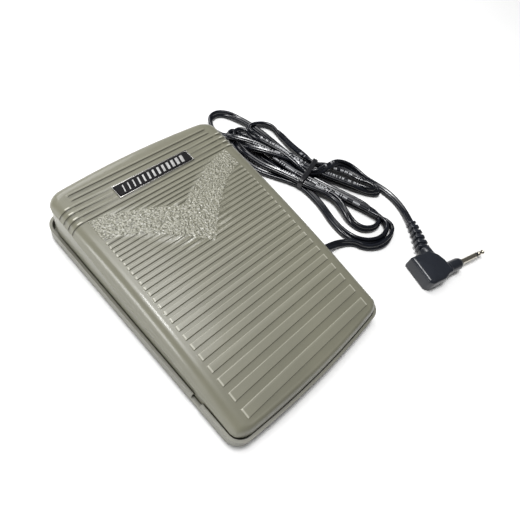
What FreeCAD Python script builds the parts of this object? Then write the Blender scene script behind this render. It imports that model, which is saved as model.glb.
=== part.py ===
"""Sewing machine foot pedal: a hinged treadle cover nested in a base tray, with its cord and jack plug.

Millimetres. +Y points to the toe (high) end, +X to the user's right, +Z up. The origin is on the floor
at the middle of the pedal's footprint. The treadle turns about a hinge rod near the heel.
"""
import FreeCAD
import Part
import math
import os

Vector = FreeCAD.Vector

# ---------------------------------------------------------------- driving dimensions
TRAY_WIDTH = 115.0
TRAY_SIDE_LENGTH = 160.2      # length of the straight sides, corner to corner
END_BOW = 3.0                 # how far the toe and heel edges bulge at the middle
TRAY_CORNER = 9.0
FOOT_HEIGHT = 1.5
TRAY_RIM = 9.5                # height of the tray's rim above the floor
TRAY_WALL = 1.5
TRAY_FLOOR = 1.5

NEST_GAP = 0.45               # between the tray's wall and the cover's skirt
SHOULDER_STEP = 0.35          # the shoulder stands out this much past the skirt
COVER_WALL = 2.2
TOP_REACH = 80.0              # the heel and toe heights below are this far from the middle
TOP_AT_HEEL = 16.6
TOP_AT_MIDDLE = 30.1
TOP_AT_TOE = 35.0
SHOULDER_ROUND = 5.0
TOE_LEAN = 2.2                # the toe wall leans in this much from its lower edge to the shoulder
TOE_LEAN_HEIGHT = 24.0
SKIRT_BOTTOM_HEEL = 4.5
SKIRT_BOTTOM_TOE = 8.9

HINGE_Y = -50.0
HINGE_Z = 8.0
HINGE_ROD_RADIUS = 2.0
RUNNING_FIT = 0.05
TREADLE_TRAVEL = 2.4          # degrees from released to fully pressed

BAR_COUNT = 24
BAR_FIRST_Y = 33.8            # middle of the first grip bar
BAR_FIELD_HALF = 46.4         # half width of the ribbed field
BAR_DEPTH = 0.6
BAR_SHARE = 0.29              # half of each bar's share of the pitch
VEE_RIBS = (33.6, 36.2, 38.7, 41.35, 44.0, 46.8)   # heel edge of each fine rib above the V
VEE_GAP = 1.4                 # recess on the heel side of each of them
TOE_RIBS = (50.4, 64.95, 68.55)
PLATE_RIBS = (54.0, 57.7, 61.3)
PLATE_RIB_START = 31.5        # these stop beside the nameplate
TOE_GAP = 2.4
VEE_UPPER = (31.3, 18.6, 1.4)  # an edge of the V: y on the centre line, rise to the side, curve
VEE_LOWER = (4.5, 32.0, 1.5)
CREASE_AT_MIDDLE = 21.1       # height of the line where the shoulder meets the skirt
CREASE_CLIMB = 0.136          # how fast that line climbs towards the toe

NAMEPLATE_HALF_LENGTH = 25.1
NAMEPLATE_HALF_HEIGHT = 4.2
NAMEPLATE_BORDER = 1.0
NAMEPLATE_Y = 57.0

SPRING_PLACES = ((-40.0, 26.0), (40.0, 26.0))
SPRING_RADIUS = 4.2           # to the middle of the wire
SPRING_WIRE = 1.0
SPRING_TURNS = 7
SPRING_TOP = 25.5
SPRING_PLAY = 0.05

GEAR_MODULE = 0.8
PINION_TEETH = 12
SECTOR_FULL_TEETH = 276       # teeth that the sector's whole circle would have
SECTOR_TEETH = 6
PRESSURE_ANGLE = math.radians(20.0)
PINION_CENTRE_Z = 15.0
FLANGE_TOP = 29.0
SECTOR_SCREW_X = (-5.5, 5.5)
SECTOR_SCREW_Y = 49.0
SECTOR_TIP = 0.55             # height of a sector tooth above the pitch circle
PINION_TIP = 0.75
TOOTH_BACKLASH = 0.06         # taken off each flank

CORD_WIDTH = 5.2
CORD_THICKNESS = 2.6
CORD_EXIT_Y = -30.0
CORD_EXIT_Z = 6.0

PLUG_HEIGHT = 11.0
PLUG_PIN_RADIUS = 1.75
PLUG_AXIS_ASIDE = -5.0        # the pin's axis, measured from the plug's centre away from its cord
CORD_EXIT_ROUTE = [(61.0, -30.0, 6.0), (70.0, -30.6, 3.4), (79.0, -33.0, 2.2), (87.0, -38.6, 1.9)]
CORD_FREE_ROUTE = [(137.0, -7.0, 3.0), (141.6, -18.5, 2.4), (142.9, -31.0, 2.1), (139.8, -43.0, 2.3),
                   (133.2, -54.0, 3.2)]
PLUG_RELIEF_ROUTE = [(133.2, -54.0, 3.2), (128.0, -62.5, 4.4), (119.4, -72.0, 5.5)]
PLUG_CENTRE = Vector(111.0, -84.0, 0)
PLUG_PIN_WAY = Vector(0.965, -0.262, 0)
PLUG_CORD_WAY = Vector(0.262, 0.965, 0)
PLUG_AXIS_Z = PLUG_HEIGHT / 2

HANK_THICKNESS = 9.6
HANK_NECK_TOP = 8.4
HANK_CENTRE = (101.8, 19.8)
HANK_WAY = (-0.32, 0.947)     # along the hank, towards the toe end
HANK_TOE_OUTLINE = [
    (3.5, -12.5), (3.5, 15.5), (12.0, 19.5), (24.0, 25.0), (33.0, 30.5), (40.0, 32.8), (48.0, 32.0),
    (54.0, 27.5), (59.0, 24.8), (73.0, 24.0), (83.0, 20.5), (88.0, 13.0), (87.0, 3.0), (78.0, -4.5),
    (66.0, -9.0), (54.0, -13.5), (42.0, -17.5), (30.0, -19.5), (15.0, -16.5),
]
HANK_HEEL_OUTLINE = [
    (-3.5, 15.5), (-3.5, -12.5), (-11.0, -15.5), (-20.0, -20.0), (-32.0, -29.5), (-45.0, -35.5),
    (-58.0, -35.5), (-68.0, -28.5), (-73.8, -15.0), (-72.5, -3.0), (-66.0, 3.5), (-59.0, 9.0),
    (-55.0, 19.0), (-49.0, 26.0), (-36.0, 29.0), (-28.0, 31.8), (-19.0, 31.5), (-12.0, 25.0),
]

# ---------------------------------------------------------------- derived values
HALF_WIDTH = TRAY_WIDTH / 2
HALF_LENGTH = TRAY_SIDE_LENGTH / 2
FLOOR_TOP = FOOT_HEIGHT + TRAY_FLOOR
COVER_INSET = TRAY_WALL + NEST_GAP
SPRING_BOTTOM = FLOOR_TOP
SECTOR_RADIUS = GEAR_MODULE * SECTOR_FULL_TEETH / 2
PINION_RADIUS = GEAR_MODULE * PINION_TEETH / 2
MESH_ANGLE = math.asin((PINION_CENTRE_Z - HINGE_Z) / (SECTOR_RADIUS + PINION_RADIUS))
PINION_Y = HINGE_Y + (SECTOR_RADIUS + PINION_RADIUS) * math.cos(MESH_ANGLE)
FOOT_PLACES = [(x, y) for x in (-44.0, 44.0) for y in (-66.0, 66.0)]
BOARD_LOW = (-28.0, -22.0, 7.0)
BOARD_HIGH = (28.0, 14.0, 8.6)
BOARD_SCREW_PLACES = [(x, y) for x in (-24.5, 24.5) for y in (-18.5, 10.5)]
CLAMP_SCREW_PLACES = [(44.0, CORD_EXIT_Y - 8.0), (44.0, CORD_EXIT_Y + 8.0)]
BRACKET_SCREW_PLACES = [(20.0, PINION_Y - 6.0), (20.0, PINION_Y + 6.0)]
BUMPER_PLACES = [(-34.0, 64.0), (34.0, 64.0)]
BUMPER_TOP = 11.0
LUG_X = 46.0


# ---------------------------------------------------------------- shared shapes
def save(name, shape):
    """Write one named piece to its own file."""
    if not shape.isValid():
        print("not valid:", name)
    shape.exportStep(f"parts/{name}.step")
    print(f"{name:24s} solids {len(shape.Solids):2d}  volume {shape.Volume:10.1f}")


def rod(start, end, radius):
    """A plain round bar between two points."""
    axis = end - start
    return Part.makeCylinder(radius, axis.Length, start, axis)


def box(low, high):
    """A box between its lowest and highest corners."""
    return Part.makeBox(high[0] - low[0], high[1] - low[1], high[2] - low[2], Vector(*low))


def joined(solids):
    """One solid from several that touch."""
    result = solids[0]
    if len(solids) > 1:
        result = solids[0].fuse(solids[1:])
    return result.removeSplitter()


def footprint_block(inset, z_low, z_high):
    """The pedal's plan outline, drawn in by inset: straight sides, bowed ends, rounded corners."""
    side = HALF_WIDTH - inset
    end = HALF_LENGTH - inset
    toe_left = Vector(-side, end, z_low)
    toe_right = Vector(side, end, z_low)
    heel_left = Vector(-side, -end, z_low)
    heel_right = Vector(side, -end, z_low)
    edges = [
        Part.Arc(toe_left, Vector(0, end + END_BOW, z_low), toe_right).toShape(),
        Part.LineSegment(toe_right, heel_right).toShape(),
        Part.Arc(heel_right, Vector(0, -end - END_BOW, z_low), heel_left).toShape(),
        Part.LineSegment(heel_left, toe_left).toShape(),
    ]
    block = Part.Face(Part.Wire(edges)).extrude(Vector(0, 0, z_high - z_low))
    upright = [e for e in block.Edges if abs(e.tangentAt(e.FirstParameter).z) > 0.99]
    return block.makeFillet(max(TRAY_CORNER - inset, 2.0), upright)


def top_height(y):
    """Height of the treadle's top surface: a shallow curve through its heel, middle and toe heights."""
    slope = (TOP_AT_TOE - TOP_AT_HEEL) / (2 * TOP_REACH)
    sag = (TOP_AT_TOE + TOP_AT_HEEL) / 2 - TOP_AT_MIDDLE
    return TOP_AT_MIDDLE + slope * y + sag * (y / TOP_REACH) ** 2


def leaning_block(inset):
    """A long block whose toe end follows the bowed outline and leans back as it rises; corners rounded."""
    low, high, tail = 0.0, 50.0, -120.0
    side = HALF_WIDTH - inset
    start = HALF_LENGTH - inset + TOE_LEAN * SKIRT_BOTTOM_TOE / TOE_LEAN_HEIGHT
    toe_left = Vector(-side, start, low)
    toe_right = Vector(side, start, low)
    edges = [
        Part.Arc(toe_left, Vector(0, start + END_BOW, low), toe_right).toShape(),
        Part.LineSegment(toe_right, Vector(side, tail, low)).toShape(),
        Part.LineSegment(Vector(side, tail, low), Vector(-side, tail, low)).toShape(),
        Part.LineSegment(Vector(-side, tail, low), toe_left).toShape(),
    ]
    lean = -TOE_LEAN * (high - low) / TOE_LEAN_HEIGHT
    block = Part.Face(Part.Wire(edges)).extrude(Vector(0, lean, high - low))
    toe_corners = [e for e in block.Edges if e.BoundBox.YMin > 0 and e.BoundBox.ZLength > 49]
    return block.makeFillet(max(TRAY_CORNER - inset, 2.0), toe_corners)


def side_slab(top_drop, bottom_heel, bottom_toe, half_width=70.0):
    """A slab across the pedal: curved top as the treadle has, straight sloping bottom."""
    reach = 100.0

    def on_top(y):
        return Vector(-half_width, y, top_height(y) - top_drop)

    def on_bottom(y):
        middle = (bottom_heel + bottom_toe) / 2
        return Vector(-half_width, y, middle + (bottom_toe - bottom_heel) * y / (2 * TOP_REACH))

    edges = [
        Part.Arc(on_top(-reach), on_top(0), on_top(reach)).toShape(),
        Part.LineSegment(on_top(reach), on_bottom(reach)).toShape(),
        Part.LineSegment(on_bottom(reach), on_bottom(-reach)).toShape(),
        Part.LineSegment(on_bottom(-reach), on_top(-reach)).toShape(),
    ]
    return Part.Face(Part.Wire(edges)).extrude(Vector(2 * half_width, 0, 0))


def screw(x, y, z_seat, shank_end, head_radius=2.5, shank_radius=1.45):
    """A pan-head screw: its head stands above z_seat when the shank points down, below it when up."""
    up = 1 if shank_end > z_seat else -1
    head = rod(Vector(x, y, z_seat), Vector(x, y, z_seat - up * 1.6), head_radius)
    slot = box((x - 2.0, y - 0.35, min(z_seat - up * 1.6, z_seat - up * 0.9)),
               (x + 2.0, y + 0.35, max(z_seat - up * 1.6, z_seat - up * 0.9)))
    shank = rod(Vector(x, y, z_seat), Vector(x, y, shank_end), shank_radius)
    return joined([head.cut(slot), shank])


# ---------------------------------------------------------------- base tray and its fittings
def make_base_tray():
    outer = footprint_block(0.0, FOOT_HEIGHT, TRAY_RIM)
    hollow = footprint_block(TRAY_WALL, FLOOR_TOP, TRAY_RIM + 5)
    tray = outer.cut(hollow)
    additions = [Part.makeCylinder(3.0, BOARD_LOW[2] - FLOOR_TOP, Vector(x, y, FLOOR_TOP))
                 for x, y in BOARD_SCREW_PLACES]
    additions += [Part.makeCylinder(3.2, 3.0, Vector(x, y, FLOOR_TOP)) for x, y in SPRING_PLACES]
    additions += [Part.makeCylinder(3.6, CORD_EXIT_Z - FLOOR_TOP + 1.3, Vector(x, y, FLOOR_TOP))
                  for x, y in CLAMP_SCREW_PLACES]
    additions += [Part.makeCylinder(4.0, 4.0, Vector(x, y, FLOOR_TOP)) for x, y in BUMPER_PLACES]
    additions.append(box((40.0, CORD_EXIT_Y - 3.6, FLOOR_TOP), (48.0, CORD_EXIT_Y + 3.6, CORD_EXIT_Z - 1.3)))
    for side in (-1, 1):
        x_low = side * LUG_X - 2.0
        additions.append(box((x_low, HINGE_Y - 4.5, FLOOR_TOP), (x_low + 4.0, HINGE_Y + 4.5, HINGE_Z)))
        additions.append(rod(Vector(x_low, HINGE_Y, HINGE_Z), Vector(x_low + 4.0, HINGE_Y, HINGE_Z), 4.5))
    for y in (-34.0, 0.0, 34.0):
        additions.append(box((-52.0, y - 0.8, FLOOR_TOP), (-31.0, y + 0.8, FLOOR_TOP + 1.6)))
    tray = joined([tray] + additions)
    rod_bore = rod(Vector(-60, HINGE_Y, HINGE_Z), Vector(60, HINGE_Y, HINGE_Z), HINGE_ROD_RADIUS + 0.02)
    cuts = [rod_bore.common(box((-50, -60, 0), (50, -40, 20)))]
    cuts.append(box((-60, HINGE_Y - 3.2, 6.0), (-50, HINGE_Y + 3.2, TRAY_RIM + 1)))
    cuts.append(box((50, HINGE_Y - 3.2, 6.0), (60, HINGE_Y + 3.2, TRAY_RIM + 1)))
    cuts.append(box((54, CORD_EXIT_Y - 4.0, FLOOR_TOP), (60, CORD_EXIT_Y + 4.0, TRAY_RIM + 1)))
    for x, y in BOARD_SCREW_PLACES + CLAMP_SCREW_PLACES + BRACKET_SCREW_PLACES:
        cuts.append(Part.makeCylinder(1.5, 12.0, Vector(x, y, FOOT_HEIGHT + 0.4)))
    for x, y in FOOT_PLACES:
        cuts.append(Part.makeCylinder(2.5, 6.0, Vector(x, y, 0)))
    for x, y in BUMPER_PLACES:
        cuts.append(Part.makeCylinder(1.6, 6.0, Vector(x, y, FLOOR_TOP)))
    return tray.cut(Part.makeCompound(cuts))


def make_rubber_feet():
    feet = []
    for x, y in FOOT_PLACES:
        pad = Part.makeCylinder(6.5, FOOT_HEIGHT, Vector(x, y, 0))
        rim = [e for e in pad.Edges if e.BoundBox.ZMax < 0.01 and e.Closed]
        pad = pad.makeFillet(0.4, rim)
        neck = Part.makeCylinder(2.5, TRAY_FLOOR, Vector(x, y, FOOT_HEIGHT))
        barb = Part.makeCone(3.2, 2.2, 1.6, Vector(x, y, FLOOR_TOP))
        feet.append(joined([pad, neck, barb]))
    return Part.makeCompound(feet)


def make_hinge_rod():
    bar = rod(Vector(-50.2, HINGE_Y, HINGE_Z), Vector(50.2, HINGE_Y, HINGE_Z), HINGE_ROD_RADIUS)
    grooves = [rod(Vector(s * 48.2, HINGE_Y, HINGE_Z), Vector(s * 49.0, HINGE_Y, HINGE_Z), 3.0).cut(
        rod(Vector(s * 48.0, HINGE_Y, HINGE_Z), Vector(s * 49.2, HINGE_Y, HINGE_Z), 1.5)) for s in (-1, 1)]
    return bar.cut(Part.makeCompound(grooves))


def make_hinge_clips():
    clips = []
    for side in (-1, 1):
        disc = rod(Vector(side * 48.25, HINGE_Y, HINGE_Z), Vector(side * 48.95, HINGE_Y, HINGE_Z), 4.0)
        neck = rod(Vector(side * 48.0, HINGE_Y, HINGE_Z), Vector(side * 49.2, HINGE_Y, HINGE_Z), 1.5)
        mouth = box((min(side * 48, side * 50), HINGE_Y - 1.4, HINGE_Z),
                    (max(side * 48, side * 50), HINGE_Y + 1.4, HINGE_Z + 6))
        clips.append(disc.cut(neck).cut(mouth))
    return Part.makeCompound(clips)


def make_heel_stop_pads():
    pads = [box((x - 6.0, -79.2, FLOOR_TOP), (x + 6.0, -74.2, 4.25)) for x in (-30.0, 30.0)]
    return Part.makeCompound(pads)


def make_toe_stop_bumpers():
    bumpers = []
    for x, y in BUMPER_PLACES:
        head = Part.makeCylinder(4.5, BUMPER_TOP - FLOOR_TOP - 4.0, Vector(x, y, FLOOR_TOP + 4.0))
        top_rim = [e for e in head.Edges if e.BoundBox.ZMin > BUMPER_TOP - 0.01]
        head = head.makeFillet(1.0, top_rim)
        stem = Part.makeCylinder(1.6, 3.8, Vector(x, y, FLOOR_TOP + 0.2))
        bumpers.append(joined([head, stem]))
    return Part.makeCompound(bumpers)


# ---------------------------------------------------------------- treadle
def vee_half_width(y):
    """Half width of the opening of the V at y, inside its upper edge."""
    start, rise, power = VEE_UPPER
    return BAR_FIELD_HALF * (1 - (1 - (y - start) / rise) ** (1 / power))


def chevron_block():
    """The pebbled V, pointing to the heel, as an upright block."""
    def line(start, rise, power):
        points = []
        for step in range(0, 13):
            across = step / 12.0
            points.append((across * BAR_FIELD_HALF, start + rise * (1 - (1 - across) ** power)))
        return points

    upper = line(*VEE_UPPER)
    lower = line(*VEE_LOWER)
    loop = [(-x, y) for x, y in reversed(upper)] + upper[1:]
    loop += list(reversed(lower)) + [(-x, y) for x, y in lower[1:]]
    corners = [Vector(x, y, 0) for x, y in loop]
    return Part.Face(Part.makePolygon(corners + corners[:1])).extrude(Vector(0, 0, 60))


def bar_middle(index):
    """Y of the middle of a grip bar; the pitch grows smoothly towards the heel."""
    along = index / (BAR_COUNT - 1)
    return BAR_FIRST_Y - 2.42 * index - 1.69 * (math.exp(3.4 * along) - 1)


def groove_strips():
    """The recesses between the grip bars and between the fine ribs: a thin curved layer cut into strips."""
    layer = side_slab(0.0, -20, -20, BAR_FIELD_HALF).cut(side_slab(BAR_DEPTH, -30, -30))
    gaps = []
    for index in range(BAR_COUNT - 1):
        upper = bar_middle(index)
        lower = bar_middle(index + 1)
        pitch = upper - lower
        gaps.append(box((-60, lower + BAR_SHARE * pitch, 0), (60, upper - BAR_SHARE * pitch, 60)))
    strips = layer.common(Part.makeCompound(gaps)).cut(chevron_block())
    fine = []
    for y in VEE_RIBS:
        reach = vee_half_width(y) - 1.0
        if reach > 1.0:
            fine.append(box((-reach, y - VEE_GAP, 0), (reach, y, 60)))
    for y in TOE_RIBS:
        fine.append(box((-BAR_FIELD_HALF, y - TOE_GAP, 0), (BAR_FIELD_HALF, y, 60)))
    for y in PLATE_RIBS:
        fine.append(box((-BAR_FIELD_HALF, y - TOE_GAP, 0), (-PLATE_RIB_START, y, 60)))
        fine.append(box((PLATE_RIB_START, y - TOE_GAP, 0), (BAR_FIELD_HALF, y, 60)))
    fine_strips = layer.common(Part.makeCompound(fine)).cut(chevron_block())
    return Part.makeCompound([strips, fine_strips])


def make_treadle_cover():
    outer = footprint_block(COVER_INSET, 0, 50).common(leaning_block(COVER_INSET)).common(
        side_slab(0.0, SKIRT_BOTTOM_HEEL, SKIRT_BOTTOM_TOE))
    top_face = max(outer.Faces, key=lambda face: face.CenterOfMass.z)
    outer = outer.makeFillet(SHOULDER_ROUND, top_face.Edges)
    inset = COVER_INSET + COVER_WALL
    inner = footprint_block(inset, -5, 50).common(leaning_block(inset).fuse(footprint_block(inset, -5, 1)))
    inner = inner.common(side_slab(COVER_WALL + 0.1, -20, -20))
    inner_top = max(inner.Faces, key=lambda face: face.CenterOfMass.z)
    inner = inner.makeFillet(SHOULDER_ROUND - COVER_WALL, inner_top.Edges)
    cover = outer.cut(inner)
    under_top = side_slab(1.0, -20, -20, 50)
    posts = []
    for x, y in SPRING_PLACES:
        posts.append(Part.makeCylinder(3.2, 60, Vector(x, y, SPRING_TOP - 3.0)))
        posts.append(Part.makeCylinder(5.5, 60, Vector(x, y, SPRING_TOP)))
    for x, y in BUMPER_PLACES:
        drop = (y - HINGE_Y) * math.sin(math.radians(TREADLE_TRAVEL))
        posts.append(Part.makeCylinder(3.5, 60, Vector(x, y, BUMPER_TOP + drop + 0.35)))
    for x in SECTOR_SCREW_X:
        posts.append(Part.makeCylinder(3.4, 60, Vector(x, SECTOR_SCREW_Y, FLANGE_TOP)))
    for side in (-1, 1):
        x_low = side * (LUG_X - 5.0) - 2.0
        lug = box((x_low, HINGE_Y - 4.0, HINGE_Z), (x_low + 4.0, HINGE_Y + 4.0, 60))
        posts.append(lug)
        posts.append(rod(Vector(x_low, HINGE_Y, HINGE_Z), Vector(x_low + 4.0, HINGE_Y, HINGE_Z), 4.0))
    ribs = [box((x - 0.8, -45.0, 0), (x + 0.8, 38.0, 60)) for x in (-18.0, 18.0)]
    rib_slab = side_slab(1.0, -20, -20, 50).cut(side_slab(6.0, -30, -30))
    posts = [post.common(under_top) for post in posts] + [rib.common(rib_slab) for rib in ribs]
    cover = joined([cover] + posts)
    cuts = [rod(Vector(-50, HINGE_Y, HINGE_Z), Vector(50, HINGE_Y, HINGE_Z), HINGE_ROD_RADIUS + RUNNING_FIT)]
    cuts.append(box((50, CORD_EXIT_Y - 6.0, 0), (60, CORD_EXIT_Y + 6.0, 11.8)))
    for x in SECTOR_SCREW_X:
        cuts.append(Part.makeCylinder(1.5, 32.7 - FLANGE_TOP, Vector(x, SECTOR_SCREW_Y, FLANGE_TOP)))
    cover = cover.cut(Part.makeCompound(cuts))
    skirt_relief = footprint_block(COVER_INSET - 1, 0, 50).cut(
        footprint_block(COVER_INSET + SHOULDER_STEP, -1, 51))
    below_crease = side_slab(0.0, -20, -20).cut(crease_slab())
    cover = cover.cut(skirt_relief.common(below_crease))
    return cover.cut(groove_strips())


def crease_slab():
    """Everything above the line where the shoulder meets the skirt, which climbs towards the toe."""
    reach = 100.0
    heel_height = CREASE_AT_MIDDLE - CREASE_CLIMB * reach
    toe_height = CREASE_AT_MIDDLE + CREASE_CLIMB * reach
    corners = [Vector(-70, -reach, heel_height), Vector(-70, reach, toe_height),
               Vector(-70, reach, 80), Vector(-70, -reach, 80)]
    return Part.Face(Part.makePolygon(corners + corners[:1])).extrude(Vector(140, 0, 0))


def nameplate_window():
    """The opening of the nameplate's frame, as an upright block."""
    half_length = NAMEPLATE_HALF_LENGTH - NAMEPLATE_BORDER
    half_height = NAMEPLATE_HALF_HEIGHT - NAMEPLATE_BORDER
    return box((-half_length, NAMEPLATE_Y - half_height, 0), (half_length, NAMEPLATE_Y + half_height, 60))


def make_nameplate_frame():
    seat = side_slab(-0.9, 0, 0).cut(side_slab(0.0, -5, -5))
    plate = box((-NAMEPLATE_HALF_LENGTH, NAMEPLATE_Y - NAMEPLATE_HALF_HEIGHT, 0),
                (NAMEPLATE_HALF_LENGTH, NAMEPLATE_Y + NAMEPLATE_HALF_HEIGHT, 60))
    return plate.cut(nameplate_window()).common(seat)


def make_nameplate_insert():
    seat = side_slab(-0.45, 0, 0).cut(side_slab(0.0, -5, -5))
    return nameplate_window().common(seat)


# ---------------------------------------------------------------- return springs
def make_return_spring(x, y):
    """A compression spring: half turns of round wire, each tilted to climb half a pitch."""
    rise = (SPRING_TOP - SPRING_BOTTOM - SPRING_WIRE - 2 * SPRING_PLAY) / (2 * SPRING_TURNS)
    halves = []
    for step in range(2 * SPRING_TURNS):
        side = 1 if step % 2 == 0 else -1
        z = step * rise
        ring = Part.makeCircle(SPRING_WIRE / 2, Vector(side * SPRING_RADIUS, 0, z), Vector(0, side, 0))
        disc = Part.Face(Part.Wire(ring))
        turn_axis = Vector(side * rise / 2, 0, SPRING_RADIUS)
        halves.append(disc.revolve(Vector(0, 0, z + rise / 2), turn_axis, 180))
    coil = joined(halves)
    coil.translate(Vector(x, y, SPRING_BOTTOM + SPRING_WIRE / 2 + SPRING_PLAY))
    return coil


# ---------------------------------------------------------------- rack sector, pinion, potentiometer
def polar(radius, angle):
    """A point in the YZ plane, measured from the hinge axis."""
    return Vector(0, HINGE_Y + radius * math.cos(angle), HINGE_Z + radius * math.sin(angle))


def sector_tooth(angle):
    """One straight-sided tooth of the sector, standing on its root circle at that angle."""
    half = math.pi * GEAR_MODULE / 4 - TOOTH_BACKLASH
    deep = 0.95
    root = SECTOR_RADIUS - deep - 0.2
    tip = SECTOR_RADIUS + SECTOR_TIP
    root_half = (half + (deep + 0.2) * math.tan(PRESSURE_ANGLE)) / root
    tip_half = (half - SECTOR_TIP * math.tan(PRESSURE_ANGLE)) / tip
    corners = [polar(root, angle - root_half), polar(tip, angle - tip_half),
               polar(tip, angle + tip_half), polar(root, angle + root_half)]
    tooth = Part.Face(Part.makePolygon(corners + corners[:1])).extrude(Vector(4, 0, 0))
    tooth.translate(Vector(-2, 0, 0))
    return tooth


def make_rack_sector():
    """The toothed arc about the hinge, its web and the flange that is screwed under the cover."""
    low = MESH_ANGLE - math.radians(2.2)
    high = MESH_ANGLE + math.radians(7.0)
    root = SECTOR_RADIUS - 0.95
    inside = SECTOR_RADIUS - 10.0
    edges = [
        Part.Arc(polar(root, low), polar(root, (low + high) / 2), polar(root, high)).toShape(),
        Part.LineSegment(polar(root, high), polar(inside, high)).toShape(),
        Part.Arc(polar(inside, high), polar(inside, (low + high) / 2), polar(inside, low)).toShape(),
        Part.LineSegment(polar(inside, low), polar(root, low)).toShape(),
    ]
    plate = Part.Face(Part.Wire(edges)).extrude(Vector(4, 0, 0))
    plate.translate(Vector(-2, 0, 0))
    web = box((-2, 46.0, 21.0), (2, 57.6, FLANGE_TOP))
    flange = box((-9, 44.0, FLANGE_TOP - 2.0), (9, 54.0, FLANGE_TOP))
    pitch = 2 * math.pi / SECTOR_FULL_TEETH
    teeth = [sector_tooth(MESH_ANGLE + (k - 1) * pitch) for k in range(SECTOR_TEETH)]
    sector = joined([plate, web, flange] + teeth)
    holes = [Part.makeCylinder(1.6, 10, Vector(x, SECTOR_SCREW_Y, FLANGE_TOP - 5)) for x in SECTOR_SCREW_X]
    return sector.cut(Part.makeCompound(holes))


def make_sector_screws():
    return Part.makeCompound([screw(x, SECTOR_SCREW_Y, FLANGE_TOP - 2.0, 32.5) for x in SECTOR_SCREW_X])


def make_pinion():
    """Twelve involute teeth; a gap faces the sector at rest."""
    base = PINION_RADIUS * math.cos(PRESSURE_ANGLE)
    root = PINION_RADIUS - 0.8
    tip = PINION_RADIUS + PINION_TIP
    half_at_pitch = (math.pi * GEAR_MODULE / 4 - TOOTH_BACKLASH) / PINION_RADIUS

    def spread(radius):
        roll = math.sqrt(max((radius / base) ** 2 - 1, 0))
        return roll - math.atan(roll)

    def flank(radius):
        return half_at_pitch + spread(PINION_RADIUS) - spread(radius)

    pitch = 2 * math.pi / PINION_TEETH
    profile = []
    for tooth in range(PINION_TEETH):
        middle = math.pi + MESH_ANGLE + (tooth + 0.5) * pitch
        radii = [root, base, base + 0.35 * (tip - base), base + 0.7 * (tip - base), tip]
        rising = [(r, middle - flank(max(r, base))) for r in radii]
        falling = [(r, middle + flank(max(r, base))) for r in reversed(radii)]
        profile += rising + falling
    corners = [Vector(-3, PINION_Y + r * math.cos(a), PINION_CENTRE_Z + r * math.sin(a)) for r, a in profile]
    gear = Part.Face(Part.makePolygon(corners + corners[:1])).extrude(Vector(6, 0, 0))
    bore = rod(Vector(-4, PINION_Y, PINION_CENTRE_Z), Vector(4, PINION_Y, PINION_CENTRE_Z), 2.0)
    return gear.cut(bore)


def on_pinion_axis(x):
    """A point on the axis that the pinion and the potentiometer share."""
    return Vector(x, PINION_Y, PINION_CENTRE_Z)


def make_potentiometer_shaft():
    return rod(on_pinion_axis(-3.6), on_pinion_axis(12.0), 2.0)


def make_potentiometer_body():
    body = rod(on_pinion_axis(8.5), on_pinion_axis(17.5), 8.0)
    bush = rod(on_pinion_axis(4.0), on_pinion_axis(8.5), 3.5)
    tags = [box((14.8, PINION_Y - 14.0, z - 1.0), (15.4, PINION_Y - 5.0, z + 1.0))
            for z in (11.0, 15.0, 19.0)]
    bore = rod(on_pinion_axis(3.0), on_pinion_axis(12.2), 2.0 + RUNNING_FIT)
    return joined([body, bush] + tags).cut(bore)


def make_potentiometer_nut():
    corners = []
    for step in range(6):
        angle = math.radians(60 * step)
        aside = PINION_Y + 5.5 * math.cos(angle)
        corners.append(Vector(5.0, aside, PINION_CENTRE_Z + 5.5 * math.sin(angle)))
    nut = Part.Face(Part.makePolygon(corners + corners[:1])).extrude(Vector(2.0, 0, 0))
    return nut.cut(rod(on_pinion_axis(4), on_pinion_axis(8), 3.5))


def make_potentiometer_bracket():
    upright = box((7.0, PINION_Y - 9.0, FLOOR_TOP), (8.5, PINION_Y + 9.0, 24.0))
    foot = box((8.5, PINION_Y - 9.0, FLOOR_TOP), (24.0, PINION_Y + 9.0, FLOOR_TOP + 1.5))
    holes = [rod(on_pinion_axis(6), on_pinion_axis(10), 3.5)]
    holes += [Part.makeCylinder(1.6, 10, Vector(x, y, 0)) for x, y in BRACKET_SCREW_PLACES]
    return joined([upright, foot]).cut(Part.makeCompound(holes))


def make_bracket_screws():
    seat = FLOOR_TOP + 1.5
    return Part.makeCompound([screw(x, y, seat, FOOT_HEIGHT + 0.5) for x, y in BRACKET_SCREW_PLACES])


# ---------------------------------------------------------------- circuit board
def make_circuit_board():
    board = box(BOARD_LOW, BOARD_HIGH)
    holes = [Part.makeCylinder(1.6, 6, Vector(x, y, 5)) for x, y in BOARD_SCREW_PLACES]
    return board.cut(Part.makeCompound(holes))


def make_board_screws():
    return Part.makeCompound([screw(x, y, BOARD_HIGH[2], FOOT_HEIGHT + 1.0) for x, y in BOARD_SCREW_PLACES])


def make_terminal_block():
    block = box((14.0, -14.0, BOARD_HIGH[2]), (24.0, -4.0, BOARD_HIGH[2] + 9.0))
    wells = [Part.makeCylinder(1.7, 4.0, Vector(19.0, y, BOARD_HIGH[2] + 6.0)) for y in (-11.5, -6.5)]
    return block.cut(Part.makeCompound(wells))


def make_capacitor():
    can = Part.makeCylinder(4.0, 10.0, Vector(-14.0, -4.0, BOARD_HIGH[2]))
    rims = [e for e in can.Edges if e.Closed]
    return can.makeFillet(0.6, rims)


def make_transistor():
    slab = box((-3.0, -12.0, BOARD_HIGH[2] + 3.0), (1.6, -2.0, BOARD_HIGH[2] + 12.0))
    tab = box((0.3, -12.0, BOARD_HIGH[2] + 12.0), (1.6, -2.0, BOARD_HIGH[2] + 14.0))
    legs = [box((-1.2, y - 0.4, BOARD_HIGH[2]), (-0.6, y + 0.4, BOARD_HIGH[2] + 3.0))
            for y in (-9.5, -7.0, -4.5)]
    return joined([slab, tab] + legs)


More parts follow.
